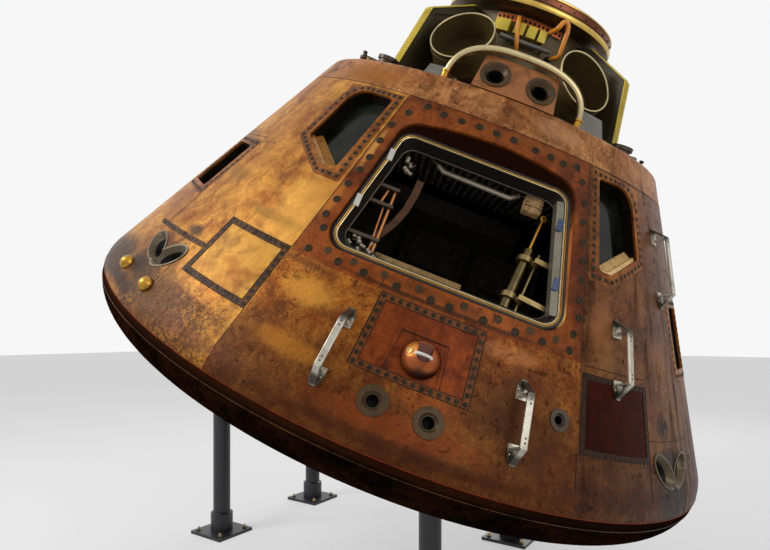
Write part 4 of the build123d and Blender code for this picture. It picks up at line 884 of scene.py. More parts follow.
def apply_modifiers(made):
    """Keep the mesh that the modifiers give, and take them off."""
    shaped = bpy.data.meshes.new_from_object(made.evaluated_get(bpy.context.evaluated_depsgraph_get()))
    made.modifiers.clear()
    made.data = shaped


# %% [markdown]
# ### Plugs, screws and strips
# The surround is held by bolts under plugs of ablative filler, wider than a coin. The windows and the access
# panels are held by small screws in a dark strip of filler round their edge. All are shallow turned discs,
# with a rim and a sunk middle, so that each catches the light as a ring. The plugs were set by hand and don't
# stand evenly, so their places are a list, while the screws are spaced along a line.

# %% Plugs
PLUG, PALE_PLUG = 0.0182, 0.01729
FASTENER = ((1.0, -0.1), (1.0, 0.07), (0.9, 0.13), (0.74, 0.13), (0.66, 0.04), (0.2, 0.04))


def fastener(angle, height, radius, lift=0.0):
    """A disc with a rim and a sunk middle, seated on the cone."""
    return lathe(on_cone(angle, height, lift), [(radius * r, radius * h) for r, h in FASTENER], 16)


left_edge = [(-20.9, 1.832), (-22.5, 1.754), (-22.4, 1.669), (-22.0, 1.583), (-22.1, 1.517), (-22.3, 1.445),
             (-22.2, 1.366), (-22.2, 1.294), (-21.0, 1.239)]
right_edge = [(21.4, 1.819), (22.2, 1.735), (22.2, 1.652), (22.4, 1.572), (22.6, 1.496), (22.6, 1.420),
              (22.6, 1.340), (22.6, 1.273), (21.7, 1.206)]
sill_dark = [(angle, 1.143) for angle in (-21.0, -15.7, -11.5, -6.3, -1.1, 1.7, 6.9, 11.9, 16.4, 21.2)]
sill_pale = [(angle, 1.166) for angle in (-18.1, -13.6, -8.6, -3.2, 3.7, 9.0, 14.2, 18.6)]
header = [(-17.6, 1.888), (-13.2, 1.875), (-8.9, 1.873), (-4.7, 1.876), (-0.7, 1.875), (3.4, 1.876),
          (8.8, 1.869), (12.6, 1.868), (16.0, 1.862), (19.6, 1.874)]
piece("surround_plugs", [fastener(*place, PLUG) for place in left_edge + right_edge + sill_dark + header],
      plug_brown)
piece("surround_plugs_pale", [fastener(*place, PALE_PLUG) for place in sill_pale], plug_grey)

# %% [markdown]
# ### Window strips and screws
# Each window sits in a frame of filler with a row of screws. The outline is known at the frame and at the
# pane, so the line of the screws is worked out between the two. One corner of a forward window is rounded.

# %% Outlines of the windows
CROWN_BAND = 1.915
FORWARD_FRAME = [(24.2, 0.015), (41.3, 0.015), (41.6, 0.340), (30.0, 0.483), (24.2, 0.483)]
FORWARD_SIGHT = [(26.4, 0.043), (38.6, 0.037), (39.0, 0.323), (30.4, 0.431), (26.8, 0.431)]
SIDE_FRAME = [(51.0, 0.437), (67.4, 0.437), (66.6, 0.793), (52.0, 0.793)]
SIDE_SIGHT = [(54.2, 0.477), (65.0, 0.477), (64.6, 0.750), (54.6, 0.750)]
BEYOND = 1.045


def between(outer, inner, share):
    """A window's outline, part of the way from its frame to its sight."""
    return [(a + (c - a) * share, CROWN_BAND - (b + (d - b) * share)) for (a, b), (c, d) in zip(outer, inner)]


def corner_arc(corner, radius, spread=0.0, steps=9):
    """Round off a window's upper corner, from its top edge to its far side.

    A spread of 1 moves each place out to a square that lies a little beyond the corner.
    """
    angle, height = corner
    places = []
    for k in range(steps):
        turn = pi / 2 * k / (steps - 1)
        reach = radius * (1 + spread * (BEYOND / max(sin(turn), cos(turn)) - 1))
        x, y = reach * sin(turn) - radius, reach * cos(turn) - radius
        places.append((angle + degrees(x / cone_radius(height)), height + y * cos(CONE_SLOPE)))
    return places


def mirrored(places):
    """The same (angle, height) places on the other hand."""
    return [(-angle, height) for angle, height in places]


print("corners of a forward window", len(FORWARD_FRAME), "and of a side window", len(SIDE_FRAME))

# %% Window strips and screws
SCREW, SCREW_LIFT, WINDOW_PITCH = 0.0100, 0.0012, 0.036
STRIP_WIDE, STRIP_LIFT = 0.024, 0.0014
EDGE_WIDE, EDGE_LIFT = 0.004, 0.0008
LINE_SHARE, EDGE_SHARE = 0.42, 0.05
LINE_ROUND, EDGE_ROUND = 0.100, 0.115

for window, outer, inner in (("forward", FORWARD_FRAME, FORWARD_SIGHT), ("side", SIDE_FRAME, SIDE_SIGHT)):
    line = between(outer, inner, LINE_SHARE)
    edge = between(outer, inner, EDGE_SHARE)
    places = list(line)
    if window == "forward":
        places[1:2] = corner_arc(line[1], LINE_ROUND, steps=5)
        line[1:2] = corner_arc(line[1], LINE_ROUND)
        edge[1:2] = corner_arc(edge[1], EDGE_ROUND)
    paths = {"right": (line, edge, places), "left": [mirrored(path) for path in (line, edge, places)]}
    for name, (run, rim, spots) in paths.items():
        screws = [fastener(*spot, SCREW, SCREW_LIFT) for spot in walk(spots, True, WINDOW_PITCH)]
        piece(f"{window}_window_screws_{name}", screws, screw_dark)
        lines = [ribbon(run, STRIP_WIDE, STRIP_LIFT, True), ribbon(rim, EDGE_WIDE, EDGE_LIFT, True)]
        piece(f"{window}_window_strip_{name}", lines, window_strip_skin)

# %% [markdown]
# ### Corners and sills of the forward windows
# The upper corner far from the hatch is rounded more than the others, so a filler closes what lies outside
# the arc. Along the lower edge a slanting sill runs from the frame down to the pane. It faces the lamps, so
# it is the brightest part of the recess, and its colour is painted light too: the right sill is painted pale
# as a highlight, the left one a darker copy of the same filler. It is a stepped wedge, worked out in the
# pane's own plane.

# %% Sills
# share of the way from the frame to the sight, and how far down
SILL_STEPS = [(0.0, -0.010), (0.36, -0.020), (0.41, -0.036)]
PANE_TOP = -0.0705
PANE_MIDDLE = (32.24, CROWN_BAND - 0.253)
sill_outer = [(angle, CROWN_BAND - drop) for angle, drop in ((40.4, 0.312), (30.4, 0.434), (26.3, 0.434))]
sill_inner = [(angle, CROWN_BAND - drop) for angle, drop in ((40.4, 0.256), (29.7, 0.383), (26.3, 0.383))]


def window_sill(hand):
    """Stepped wedge along the lower edge of a forward window."""
    pane_plane = on_cone(hand * PANE_MIDDLE[0], PANE_MIDDLE[1])
    to_pane = pane_plane.inverted()
    rings = []
    for (angle, height), (inner_angle, inner_height) in zip(sill_outer, sill_inner):
        far = to_pane @ on_cone(hand * angle, height).translation
        near = to_pane @ on_cone(hand * inner_angle, inner_height).translation
        section = [(share, far.z + drop) for share, drop in SILL_STEPS] + [(1.0, PANE_TOP), (0.0, PANE_TOP)]
        rings.append([pane_plane @ Vector((*far.lerp(near, share).xy, z)) for share, z in section])
    return loft(rings)


print("points of a sill", len(window_sill(1)[0]))

# %% Rounded corners
SIGHT_ROUND = 0.085
CORNER_TOP, CORNER_DEEP = 0.0006, -0.05


def window_corner(hand):
    """Filler between a forward window's square upper corner and its arc."""
    angle, drop = FORWARD_SIGHT[1]
    corner = (angle, CROWN_BAND - drop)
    rings = []
    for near, far in zip(corner_arc(corner, SIGHT_ROUND), corner_arc(corner, SIGHT_ROUND, 1.0)):
        section = [(*far, CORNER_TOP), (*near, CORNER_TOP), (*near, CORNER_DEEP), (*far, CORNER_DEEP)]
        rings.append([on_cone(hand * a, z, lift).translation for a, z, lift in section])
    return loft(rings)


# the right sill takes the painted highlight, the left the dimmer copy
for hand, name, finish in ((1, "right", window_sill_painted_lit), (-1, "left", window_sill_painted_dimmer)):
    piece(f"forward_window_sill_{name}", [window_sill(hand)], finish)
    piece(f"forward_window_corner_{name}", [window_corner(hand)], frame_skin)

# %% [markdown]
# ### Access panels
# Three panels below the hatch come off for service. A row of screws in a strip of filler runs round each,
# with a fine gap on either side. The panels are CAD pieces; the strip lies on them as a ribbon, so that it
# follows the cone, and the screws are stepped along its middle.

# %% Strips and screws of the access panels
GAP_WIDE, GAP_LIFT = 0.003, 0.002


def panel_edges(name, first, last, low, high, width, pitch, finish):
    """Dark strip with screws round a panel, and the fine gaps on both its sides."""
    half_turn = degrees(width / 2 / cone_radius((low + high) / 2))
    half_rise = width / 2 * cos(CONE_SLOPE)
    middle = [(first + half_turn, low + half_rise), (last - half_turn, low + half_rise),
              (last - half_turn, high - half_rise), (first + half_turn, high - half_rise)]
    inner = [(first + 2 * half_turn, low + 2 * half_rise), (last - 2 * half_turn, low + 2 * half_rise),
             (last - 2 * half_turn, high - 2 * half_rise), (first + 2 * half_turn, high - 2 * half_rise)]
    outer = [(first, low), (last, low), (last, high), (first, high)]
    piece(f"{name}_strip", [ribbon(middle, width, STRIP_LIFT, True)], finish)
    gaps = [ribbon(line, GAP_WIDE, GAP_LIFT, True) for line in (inner, outer)]
    piece(f"{name}_gaps", gaps, gap_black)
    screws = [fastener(*spot, SCREW, SCREW_LIFT) for spot in walk(middle, True, pitch)]
    piece(f"{name}_screws", screws, screw_dark)


panel_edges("left_panel", -37.3, -23.6, 0.838, 1.121, 0.030, 0.034, strip_skin)
panel_edges("service_panel", -7.8, 7.8, 0.833, 1.108, 0.030, 0.036, service_strip)
panel_edges("right_panel", 23.9, 38.4, 0.796, 1.080, 0.024, 0.034, maroon_strip)

# %% Scorched strip beside the left nozzles
SCORCHED_LINE = [(-54.3, 0.933), (-37.6, 0.961)]
SCORCHED_WIDE, SCORCHED_SCREW, SCORCHED_PITCH = 0.030, 0.008, 0.034
piece("left_scorched_strip", [ribbon(SCORCHED_LINE, SCORCHED_WIDE, STRIP_LIFT)], strip_skin)
scorched_spots = walk(SCORCHED_LINE, False, SCORCHED_PITCH)
piece("left_scorched_screws", [fastener(*spot, SCORCHED_SCREW, SCREW_LIFT) for spot in scorched_spots],
      screw_dark)

# %% [markdown]
# ### Seams and seals
# The shell is laid up in large panels, and filler closes the gaps between them. A groove can't be cut into
# the CAD mesh here, so a hair-thin dark ribbon marks each gap. At the widest ring, where the shield meets
# the shell, a red seal shows as a continuous line.

# %% Seams
SEAM_WIDE, SEAM_LIFT = 0.0035, 0.0009
# the two ends of each seam, as angle and height
SEAMS = [
    [(38.4, 1.080), (38.4, 0.66)], [(50.7, 1.110), (50.7, 0.66)], [(38.4, 0.880), (53.5, 0.880)],
    [(-8.4, 1.110), (-8.4, 1.165)], [(8.4, 1.182), (8.4, 1.145)], [(-65.5, 1.489), (-50.9, 1.506)],
    [(-40, 0.668), (-40, 0.838)], [(-52, 1.122), (-52, 0.934)], [(-23.5, 0.838), (-23.5, 0.668)],
    [(23.5, 0.796), (23.5, 0.668)], [(-23.5, 1.121), (-23.5, 1.905)], [(23.5, 1.080), (23.5, 1.905)],
    [(24.0, 1.108), (38.4, 1.108)],
]
piece("shell_seams", [ribbon(path, SEAM_WIDE, SEAM_LIFT) for path in SEAMS], gap_black)
crown_line = [(angle, CROWN_BAND) for angle in range(0, 360, 4)]
piece("crown_seam", [ribbon(crown_line, SEAM_WIDE, SEAM_LIFT, True)], gap_black)

# %% Seal at the widest ring


def level_ring(radius, height, section, sides=180):
    """A ring round the capsule's axis, with a section of (out, up) pairs."""
    return lathe(to_row, [(radius + out, height + up) for out, up in section], sides, loop=True)


# the shield's rounded corner: its radius, and the radius and height of its centre
CORNER_R, CORNER_RING, CORNER_Z = 0.1956, 1.7602, 0.5543
SEAL_SECTION = [(-0.004, -0.0024), (0.0016, -0.0018), (0.0016, 0.0018), (-0.004, 0.0024)]
for name, height, finish, slot in (("base_seal", 0.578, red_seal, "red_brown_shell"),
                                   ("base_seal_lower", 0.5335, strip_skin, "charred_shield")):
    reach = CORNER_RING + (CORNER_R ** 2 - (height - CORNER_Z) ** 2) ** 0.5
    piece(name, [level_ring(reach, height, SEAL_SECTION)], finish, crease=60)

# %% [markdown]
# ### Handrail rivets
# Each rail ends in a pressed bracket, held by four rivets with domed heads. They are pale against the dark
# bracket, and they are what makes the bracket read as sheet metal. Both brackets hold the same pattern, so
# its places are a list, turned round for the other end.

# %% Rivets of the handrails
BRACKET_LONG, BRACKET_FACE, RAIL_FACE = 0.070, 0.0062, 0.073
RIVET_PLACES = [(-0.019, 0.002), (0.019, 0.002), (-0.0165, 0.028), (0.0165, 0.028)]
RIVET = [(0.0052, -0.001), (0.0052, 0.0012), (0.0042, 0.0032), (0.0018, 0.0042)]
RAIL_SCREW = [(0.0042, -0.001), (0.0042, 0.0008), (0.0030, 0.0014), (0.001, 0.0014)]
for name, (angle, low, high) in RAILS.items():
    middle = on_cone(angle, (low + high) / 2)
    half_run = (high - low) / cos(CONE_SLOPE) / 2 - BRACKET_LONG
    rivets, holes = [], []
    for way in (1, -1):
        for x, y in RIVET_PLACES:
            place = middle @ Matrix.Translation((x, way * (half_run + y), BRACKET_FACE))
            rivets.append(lathe(place, RIVET, 12))
        for along in (0.016, 0.034):
            place = middle @ Matrix.Translation((0, way * (half_run - along), RAIL_FACE))
            holes.append(lathe(place, RAIL_SCREW, 12))
    piece(f"handrail_rivets_{name}", rivets, bright_rim)
    piece(f"handrail_screws_{name}", holes, dark_steel)

# %% [markdown]
# ### The hatch's inner rim
# The opening ends in a machined frame with two seals. From outside they read as bright and dark lines round
# the corner. The frame is narrow at the left and shows a wide pale face at the right, with a row of holes.
# The outline is that of the opening at its depth, so it is worked out from the slopes of the reveal.

# %% Outline of the opening at a depth
HATCH_Y = 0.3812
HALF_LOW, HALF_HIGH = 0.5862, 0.4349
REVEAL_SIDE, REVEAL_LOW, REVEAL_HIGH = (tan(radians(v)) for v in (18, 27, 14))
HATCH_CORNER, CORNER_STEPS = 0.090, 7
RIM_DEPTH = 0.100
RIM_BACK = 0.164
HATCH_OUT = on_cone(0, HATCH_MIDDLE).to_3x3().col[2]


def hatch_half(y, depth):
    """Half the width of the opening at a place up the slope and a depth."""
    share = (y + HATCH_Y) / (2 * HATCH_Y)
    return HALF_LOW + (HALF_HIGH - HALF_LOW) * share - depth * REVEAL_SIDE


def hatch_line(depth, inset):
    """Points round the opening, a distance inside its edge."""
    bottom = -HATCH_Y + depth * REVEAL_LOW + inset
    top = HATCH_Y - depth * REVEAL_HIGH - inset
    wide, slim = hatch_half(bottom, depth) - inset, hatch_half(top, depth) - inset
    corners = [Vector(c) for c in ((-wide, bottom), (wide, bottom), (slim, top), (-slim, top))]
    radius = max(HATCH_CORNER - inset, 0.012)
    points = []
    for k, corner in enumerate(corners):
        back = (corners[k - 1] - corner).normalized()
        ahead = (corners[(k + 1) % 4] - corner).normalized()
        half_turn = back.angle(ahead) / 2
        centre = corner + (back + ahead).normalized() * (radius / sin(half_turn))
        first = corner + back * (radius / tan(half_turn)) - centre
        sweep_angle = pi - 2 * half_turn
        for i in range(CORNER_STEPS + 1):
            a = sweep_angle * i / CORNER_STEPS
            spun = Vector((first.x * cos(a) - first.y * sin(a), first.x * sin(a) + first.y * cos(a)))
            points.append(centre + spun)
    return [beside_hatch(p.x, p.y, depth).translation for p in points]


print("half the opening at the rim", round(hatch_half(0, RIM_DEPTH), 3))

# %% Seals and lips of the rim
# name: depth, inset from the opening's edge, radius of the section, finish and slot
RIM_LINES = {
    "hatch_seal_outer": (RIM_DEPTH, 0.0035, 0.0042, rubber, "stand_black"),
    "hatch_seal_inner": (RIM_DEPTH, 0.0130, 0.0030, brass, "brass_metal"),
    "hatch_lip": (RIM_DEPTH, 0.0215, 0.0045, bright_rim, "pale_rim"),
    "hatch_lip_back": (RIM_BACK, 0.0240, 0.0050, dark_steel, "pale_rim"),
}
for name, (depth, inset, radius, finish, slot) in RIM_LINES.items():
    piece(name, [tube(hatch_line(depth, inset), radius, HATCH_OUT, 8, True)], finish)

# %% Wide face and its row of holes
FACE_INSET = 0.0275
FACE_SECTION = [(0, 0.004), (0.030, 0.012), (0.030, 0.058), (0, 0.058)]
face_rings = []
for k in range(12):
    y = -0.250 + 0.05 * k
    x = hatch_half(y, RIM_DEPTH + 0.002) - FACE_INSET
    face_rings.append([beside_hatch(x - w, y, RIM_DEPTH + d).translation for w, d in FACE_SECTION])
piece("hatch_face_right", [loft(face_rings)], face_grey)

HOLE_INSET = 0.0085
HOLE = [(0.0034, -0.001), (0.0034, 0.0012), (0.0020, 0.0016), (0.0006, 0.0016)]
hole_row = []
for k in range(24):
    y = -0.235 + 0.0225 * k
    hole_row.append(lathe(beside_hatch(hatch_half(y, RIM_DEPTH) - HOLE_INSET, y, RIM_DEPTH), HOLE, 10))
piece("hatch_rim_holes", hole_row, screw_dark)

# %% Blank plates
PLATE_W, PLATE_H, PLATE_SEAT, PLATE_BEVEL = 0.026, 0.062, -0.004, 0.0015


def blank_plate(x, y, depth, thick):
    """Small plate on the hatch's rim, with nothing on it."""
    near, far = (-PLATE_W / 2, -PLATE_H / 2, PLATE_SEAT), (PLATE_W / 2, PLATE_H / 2, thick)
    return block(beside_hatch(x, y, depth), near, far, PLATE_BEVEL)


left_plates = [blank_plate(0.020 - hatch_half(y, RIM_DEPTH), y, RIM_DEPTH - 0.0045, 0.003)
               for y in (0.200, -0.076)]
right_plates = [blank_plate(hatch_half(y, RIM_DEPTH) - 0.040, y, RIM_DEPTH + 0.006, 0.004)
                for y in (0.179, -0.105)]
piece("hatch_plates_left", left_plates, white_plate)
piece("hatch_plates_right", right_plates, blue_plate)

# %% [markdown]
# ### Latch fittings behind the rim
# The missing door left its latch linkage behind: small pale rollers, levers and bolts crowd the lower left
# corner and the upper left. They are simple turned and cut parts, set on the rods that carry them. Each is
# turned a little differently from the one before it, so that the row doesn't look stamped.

# %% Latch fittings
ROLLER = ((0.5, -0.5), (0.8, -0.5), (1.0, -0.42), (1.0, -0.1), (0.72, -0.1), (0.72, 0.1), (1.0, 0.1),
          (1.0, 0.42), (0.8, 0.5), (0.5, 0.5))
# inset from the edge of the opening, place up the slope, radius
LATCH_PARTS = [
    (0.060, 0.262, 0.011), (0.086, 0.240, 0.008), (0.078, 0.214, 0.012), (0.104, 0.198, 0.008),
    (0.062, -0.196, 0.010), (0.092, -0.214, 0.013), (0.060, -0.240, 0.009), (0.122, -0.236, 0.010),
    (0.148, -0.206, 0.008), (0.112, -0.262, 0.009), (0.158, -0.250, 0.011), (0.190, -0.262, 0.008),
]
ROLLER_DEPTH, DEPTH_STEP, ROLLER_LONG, ROLLER_LEAN = 0.176, 0.004, 2.6, 25
LEVER_DEPTH, LEVER_TURN = 0.190, 37
LEVER_LOW, LEVER_HIGH, LEVER_BEVEL = (-0.004, -0.004, -0.004), (0.030, 0.004, 0.004), 0.0015


def roller(x, y, depth, radius, length, lean):
    """A waisted roller that lies across the slope."""
    place = beside_hatch(x, y, depth) @ Matrix.Rotation(radians(lean), 4, "Z")
    lying = place @ Matrix.Rotation(pi / 2, 4, "X")
    return lathe(lying, [(radius * r, length * h) for r, h in ROLLER], 14)


fittings, levers = [], []
for k, (inset, y, size) in enumerate(LATCH_PARTS):
    x = -hatch_half(y, RIM_BACK) + inset
    depth = ROLLER_DEPTH + DEPTH_STEP * (k % 3)
    fittings.append(roller(x, y, depth, size, size * ROLLER_LONG, ROLLER_LEAN * (k % 4)))
    place = beside_hatch(x, y, LEVER_DEPTH) @ Matrix.Rotation(radians(LEVER_TURN * k), 4, "Z")
    levers.append(block(place, LEVER_LOW, LEVER_HIGH, LEVER_BEVEL))
piece("latch_rollers", fittings, bar_pale)
piece("latch_levers", levers, dark_steel)

# %% [markdown]
# ### Port liners
# A nozzle looks black because its throat is deep and burnt. The CAD model has the real bore, and a thin
# black liner in it gives the throat its colour without painting the flared mouth. The black is partly soot
# and partly painted shade for the depth of the throat.

# %% Round liners
BELL_TURN, BELL_HEIGHT = degrees(0.118 / CROWN_RIM), 2.138
# angle, height, radius, and how far down the liner starts and ends
ROUND_BORES = [(-3.2, 0.750, 0.0256, -0.008, -0.050), (3.7, 0.750, 0.0256, -0.008, -0.050),
               (20.4, 0.892, 0.0187, -0.006, -0.050), (-BELL_TURN, BELL_HEIGHT, 0.0355, -0.010, -0.106),
               (BELL_TURN, BELL_HEIGHT, 0.0355, -0.010, -0.106)]
LINER_WALL, LINER_FLOOR = 0.0015, 0.002
liners = []
for angle, height, radius, top, bottom in ROUND_BORES:
    inner = radius - LINER_WALL
    cup = [(radius, bottom), (radius, top), (inner, top), (inner, bottom + LINER_FLOOR)]
    liners.append(lathe(on_cone(angle, height), cup, 24))
print("round liners", len(liners))

# %% Oval liners and bell faces
THROAT, MOUTH = (0.042, 0.024), (0.108, 0.054)
THROAT_Z, MOUTH_Z = -0.048, 0.005
BLACK_TO, BORE_END = -0.024, -0.088
# angle and height of the pair's middle, distance between the two, and how each oval is turned
NOZZLE_PAIRS = [(-44.8, 0.846, 0.158, (153, 41)), (45.5, 0.767, 0.184, (146, 34))]


def oval_ring(place, halves, height, inside):
    """An oval round a frame's z axis, drawn in by a distance."""
    wide, slim = halves[0] - inside, halves[1] - inside
    turns = [2 * pi * i / 32 for i in range(32)]
    return [place @ Vector((wide * cos(a), slim * sin(a), height)) for a in turns]


def oval_throat(place):
    """Black lining that follows the oval bore and the first part of its flare."""
    share = (BLACK_TO - THROAT_Z) / (MOUTH_Z - THROAT_Z)
    wide = [low + (high - low) * share for low, high in zip(THROAT, MOUTH)]
    levels = [(THROAT, BORE_END), (THROAT, THROAT_Z), (wide, BLACK_TO)]
    rings = [oval_ring(place, halves, height, 0.0006) for halves, height in levels]
    rings += [oval_ring(place, halves, height, 0.0016) for halves, height in reversed(levels)]
    return loft(rings, True)


for angle, height, apart, turns in NOZZLE_PAIRS:
    step = degrees(apart / 2 / cone_radius(height))
    for hand, turn in zip((-1, 1), turns):
        place = on_cone(angle + hand * step, height) @ Matrix.Rotation(radians(turn), 4, "Z")
        liners.append(oval_throat(place))
piece("nozzle_liners", liners, throat_soot_and_shade)
BELL_FACE = [(0.0728, 0.0), (0.0728, 0.0042), (0.0575, 0.0042), (0.0360, -0.0190), (0.0352, -0.0200),
             (0.0568, 0.0030), (0.0715, 0.0030), (0.0715, 0.0)]
bell_faces = [lathe(on_cone(angle, BELL_HEIGHT), BELL_FACE, 40, loop=True)
              for angle in (-BELL_TURN, BELL_TURN)]
piece("block_nozzle_faces", bell_faces, port_grey)

# %% [markdown]
# ### Vent cover
# A ball-shaped hood covers a vent. It is open from its middle to its upper edge, with a rounded lower end,
# and a white bail crosses the opening. The hood is turned as one profile, and a Boolean cuts the opening out,
# so its edge runs over the ball as a milled edge would. A dark red floor closes the opening at its bottom.

# %% Cup and ball of the hood
HOOD_REACH, HOOD_RISE, HOOD_RIM, HOOD_CUP = 0.0765, 0.062, 0.0820, 0.040
CUP_INNER, CUP_FLOOR = 0.0795, -0.030
BALL_STEPS, BALL_TURNS = 19, 18.3
vent = on_cone(0.4, 0.935)
hood_ball = (HOOD_RISE ** 2 + HOOD_REACH ** 2) / (2 * HOOD_RISE)


def hood_height(x, y):
    """Height of the ball over a place on the cup's rim plane."""
    return HOOD_RISE - hood_ball + (hood_ball ** 2 - x * x - y * y) ** 0.5


cup_profile = [(0.001, -HOOD_CUP), (HOOD_RIM, -HOOD_CUP), (HOOD_RIM, 0), (CUP_INNER, 0),
               (CUP_INNER, CUP_FLOOR), (0.001, CUP_FLOOR)]
piece("vent_cup", [lathe(vent, cup_profile, 72)], service_skin)
hood_profile = [(0.001, CUP_FLOOR + 0.0002), (HOOD_REACH, CUP_FLOOR + 0.0002)]
for k in range(BALL_STEPS):
    r = HOOD_REACH * cos(pi / 2 * k / BALL_TURNS)
    hood_profile.append((r, hood_height(r, 0)))
# the hood's copper finish carries the painted shade and highlight of its marks
hood = piece("vent_hood", [lathe(vent, hood_profile, 72)], copper_cover, crease=40)

# %% Cut the opening out
OPEN_SIDE, OPEN_HALF, OPEN_FLOOR, OPEN_PAST = 0.002, 0.031, 0.012, 0.1
LIP_HALF, LIP_LIFT, LIP_R = 0.0325, 0.0005, 0.0030


def lower_end(half, deep):
    """Rounded lower end of the opening, as (x, y) from its left to its right."""
    return [(OPEN_SIDE - half * cos(pi * k / 14), -deep * sin(pi * k / 14)) for k in range(15)]


def slab(outline, heights):
    """A flat outline of (x, y) over the vent, filled between two heights."""
    return loft([[vent @ Vector((x, y, z)) for x, y in outline] for z in heights])


opening = [(OPEN_SIDE + OPEN_HALF, OPEN_PAST), (OPEN_SIDE - OPEN_HALF, OPEN_PAST)]
opening += lower_end(OPEN_HALF, 0.8 * OPEN_HALF)
cutter = piece("hood_cutter", [slab(opening, (OPEN_FLOOR, OPEN_PAST))], copper_cover)
cut = hood.modifiers.new("cut", "BOOLEAN")
cut.operation = "DIFFERENCE"
cut.solver = "EXACT"
cut.object = cutter
apply_modifiers(hood)
bpy.data.objects.remove(cutter)
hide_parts("vent_cover")
print("hood", len(hood.data.polygons), "faces")

# %% Floor and lip of the opening
floor_ring = [(OPEN_SIDE + (x - OPEN_SIDE) * 0.97, min(y, 0.066) * 0.97) for x, y in opening]
piece("vent_hood_floor", [slab(floor_ring, (OPEN_FLOOR + 0.0004, OPEN_FLOOR + 0.0020))], hood_red)
lip_ends = lower_end(LIP_HALF, 0.84 * OPEN_HALF)
lip_line = [vent @ Vector((x, y, hood_height(x, y) + LIP_LIFT)) for x, y in lip_ends]
hood_lip = tube(lip_line, LIP_R, vent.to_3x3().col[2], 10)
piece("vent_hood_lip", [hood_lip], copper_cover, crease=60)

# %% Bail and boss
BAIL_R = 0.0062
bail_path = [(-0.033, 0.0, 0.036), (-0.032, 0.001, 0.056), (-0.025, 0.002, 0.0640), (-0.012, 0.002, 0.0670),
             (0, 0.002, 0.0680), (0.012, 0.002, 0.0670), (0.025, 0.002, 0.0640), (0.032, 0.001, 0.056),
             (0.033, 0.0, 0.036)]
bail = tube([vent @ Vector(p) for p in bail_path], BAIL_R, vent.to_3x3().col[1], 12)
piece("vent_bail", [bail], white_plate, crease=60)
BOSS_X, BOSS_Y, BOSS_LEAN = -0.0525, 0.006, radians(-46)
BOSS = [(0.014, -0.006), (0.014, 0.002), (0.012, 0.0035), (0.009, 0.0035), (0.008, 0.001), (0.002, 0.001)]
boss_foot = Matrix.Translation((BOSS_X, BOSS_Y, hood_height(BOSS_X, BOSS_Y) - 0.0015))
boss = lathe(vent @ boss_foot @ Matrix.Rotation(BOSS_LEAN, 4, "Y"), BOSS, 20)
piece("vent_boss", [boss], dull_brass)

# %% Line round the hood on the service panel
hood_line = [(-3.6, 0.862), (-3.19, 1.011), (3.38, 1.010), (3.75, 0.862)]
piece("service_panel_lines", [ribbon(hood_line, GAP_WIDE, EDGE_LIFT)], gap_black)

# %% [markdown]
# ### Forward compartment
# Above the crown everything is bare structure. Four webs of thin sheet stand round the tunnel, and a yellow
# flange with pressed ribs stiffens the edge of each. The webs are CAD pieces, so a flange could be modelled
# with them, but here it simply follows the same corner points, and its ribs are evenly spaced blocks.

# %% Places round the capsule's axis
TUNNEL_TOP, TUNNEL_RADIUS = 2.600, 0.382


def beside_axis(angle, radius, height, across=0.0):
    """Point at a radius from the capsule's axis, moved sideways round it."""
    a = radians(angle)
    return to_row @ Vector((radius * sin(a) + across * cos(a), -radius * cos(a) + across * sin(a), height))


def outward(start, end):
    """Unit (radius, height) step square to an edge, away from the axis."""
    run, rise = end[0] - start[0], end[1] - start[1]
    size = hypot(run, rise)
    return rise / size, -run / size


print("tunnel's wall", round(beside_axis(0, TUNNEL_RADIUS, TUNNEL_TOP).z, 3), "m over the floor")

# %% Yellow flanges and their ribs
WEB_ANGLES = (49, 131, 229, 311)
# radius and height of the corners of a web's edge
WEB_EDGE = [(0.8304, 2.122), (0.7447, 2.440), (0.4700, 2.580)]
# (across, lift) corners of a flange and of a rib
FLANGE_SECTION = [(-0.030, 0.0004), (0.030, 0.0004), (0.030, 0.004), (-0.030, 0.004)]
RIB_SECTION = [(-0.022, 0.003), (0.022, 0.003), (0.022, 0.0075), (-0.022, 0.0075)]
RIB_PITCH, RIB_HALF = 0.012, 0.0021


def edge_ring(angle, place, out, section):
    """A section of (across, lift) corners, set square on a web's edge."""
    (r, z), (out_r, out_z) = place, out
    return [beside_axis(angle, r + out_r * lift, z + out_z * lift, across) for across, lift in section]


flanges, ribs = [], []
for angle in WEB_ANGLES:
    for start, end in zip(WEB_EDGE, WEB_EDGE[1:]):
        out = outward(start, end)
        flanges.append(loft([edge_ring(angle, place, out, FLANGE_SECTION) for place in (start, end)]))
        length = hypot(end[0] - start[0], end[1] - start[1])
        count = int(length / RIB_PITCH)
        step_r, step_z = ((end[i] - start[i]) / length * RIB_HALF for i in (0, 1))
        for k in range(1, count):
            share = k / count
            r, z = (start[i] + (end[i] - start[i]) * share for i in (0, 1))
            places = [(r + side * step_r, z + side * step_z) for side in (-1, 1)]
            ribs.append(loft([edge_ring(angle, place, out, RIB_SECTION) for place in places]))
piece("web_flanges", flanges, yellow_coat)
piece("web_flange_ribs", ribs, yellow_coat)

# %% [markdown]
# ### Parachute cans
# Two open cans lean out over the crown. Each held a small parachute, and a charge threw it clear. A can is a
# turned cup with a rolled lip, and two straps and a foot hold it. They lean further than the mortars of the
# CAD model, so each takes the place of one of those.

# %% Frames for the cans and the deck
CAN_X, CAN_IN, CAN_RISE = 0.342, 0.445, 0.294
CAN_TURN, CAN_TILT = radians(26.1), radians(58.4)


def can_place(hand):
    """Frame at a can's mouth, z along the can."""
    axis = Vector((hand * sin(CAN_TURN) * sin(CAN_TILT), -cos(CAN_TURN) * sin(CAN_TILT), cos(CAN_TILT)))
    across = axis.orthogonal().normalized()
    columns = Matrix((across, axis.cross(across), axis)).transposed().to_4x4()
    return to_row @ Matrix.Translation((hand * CAN_X, CAN_IN - CROWN_RIM, CROWN_HEIGHT + CAN_RISE)) @ columns


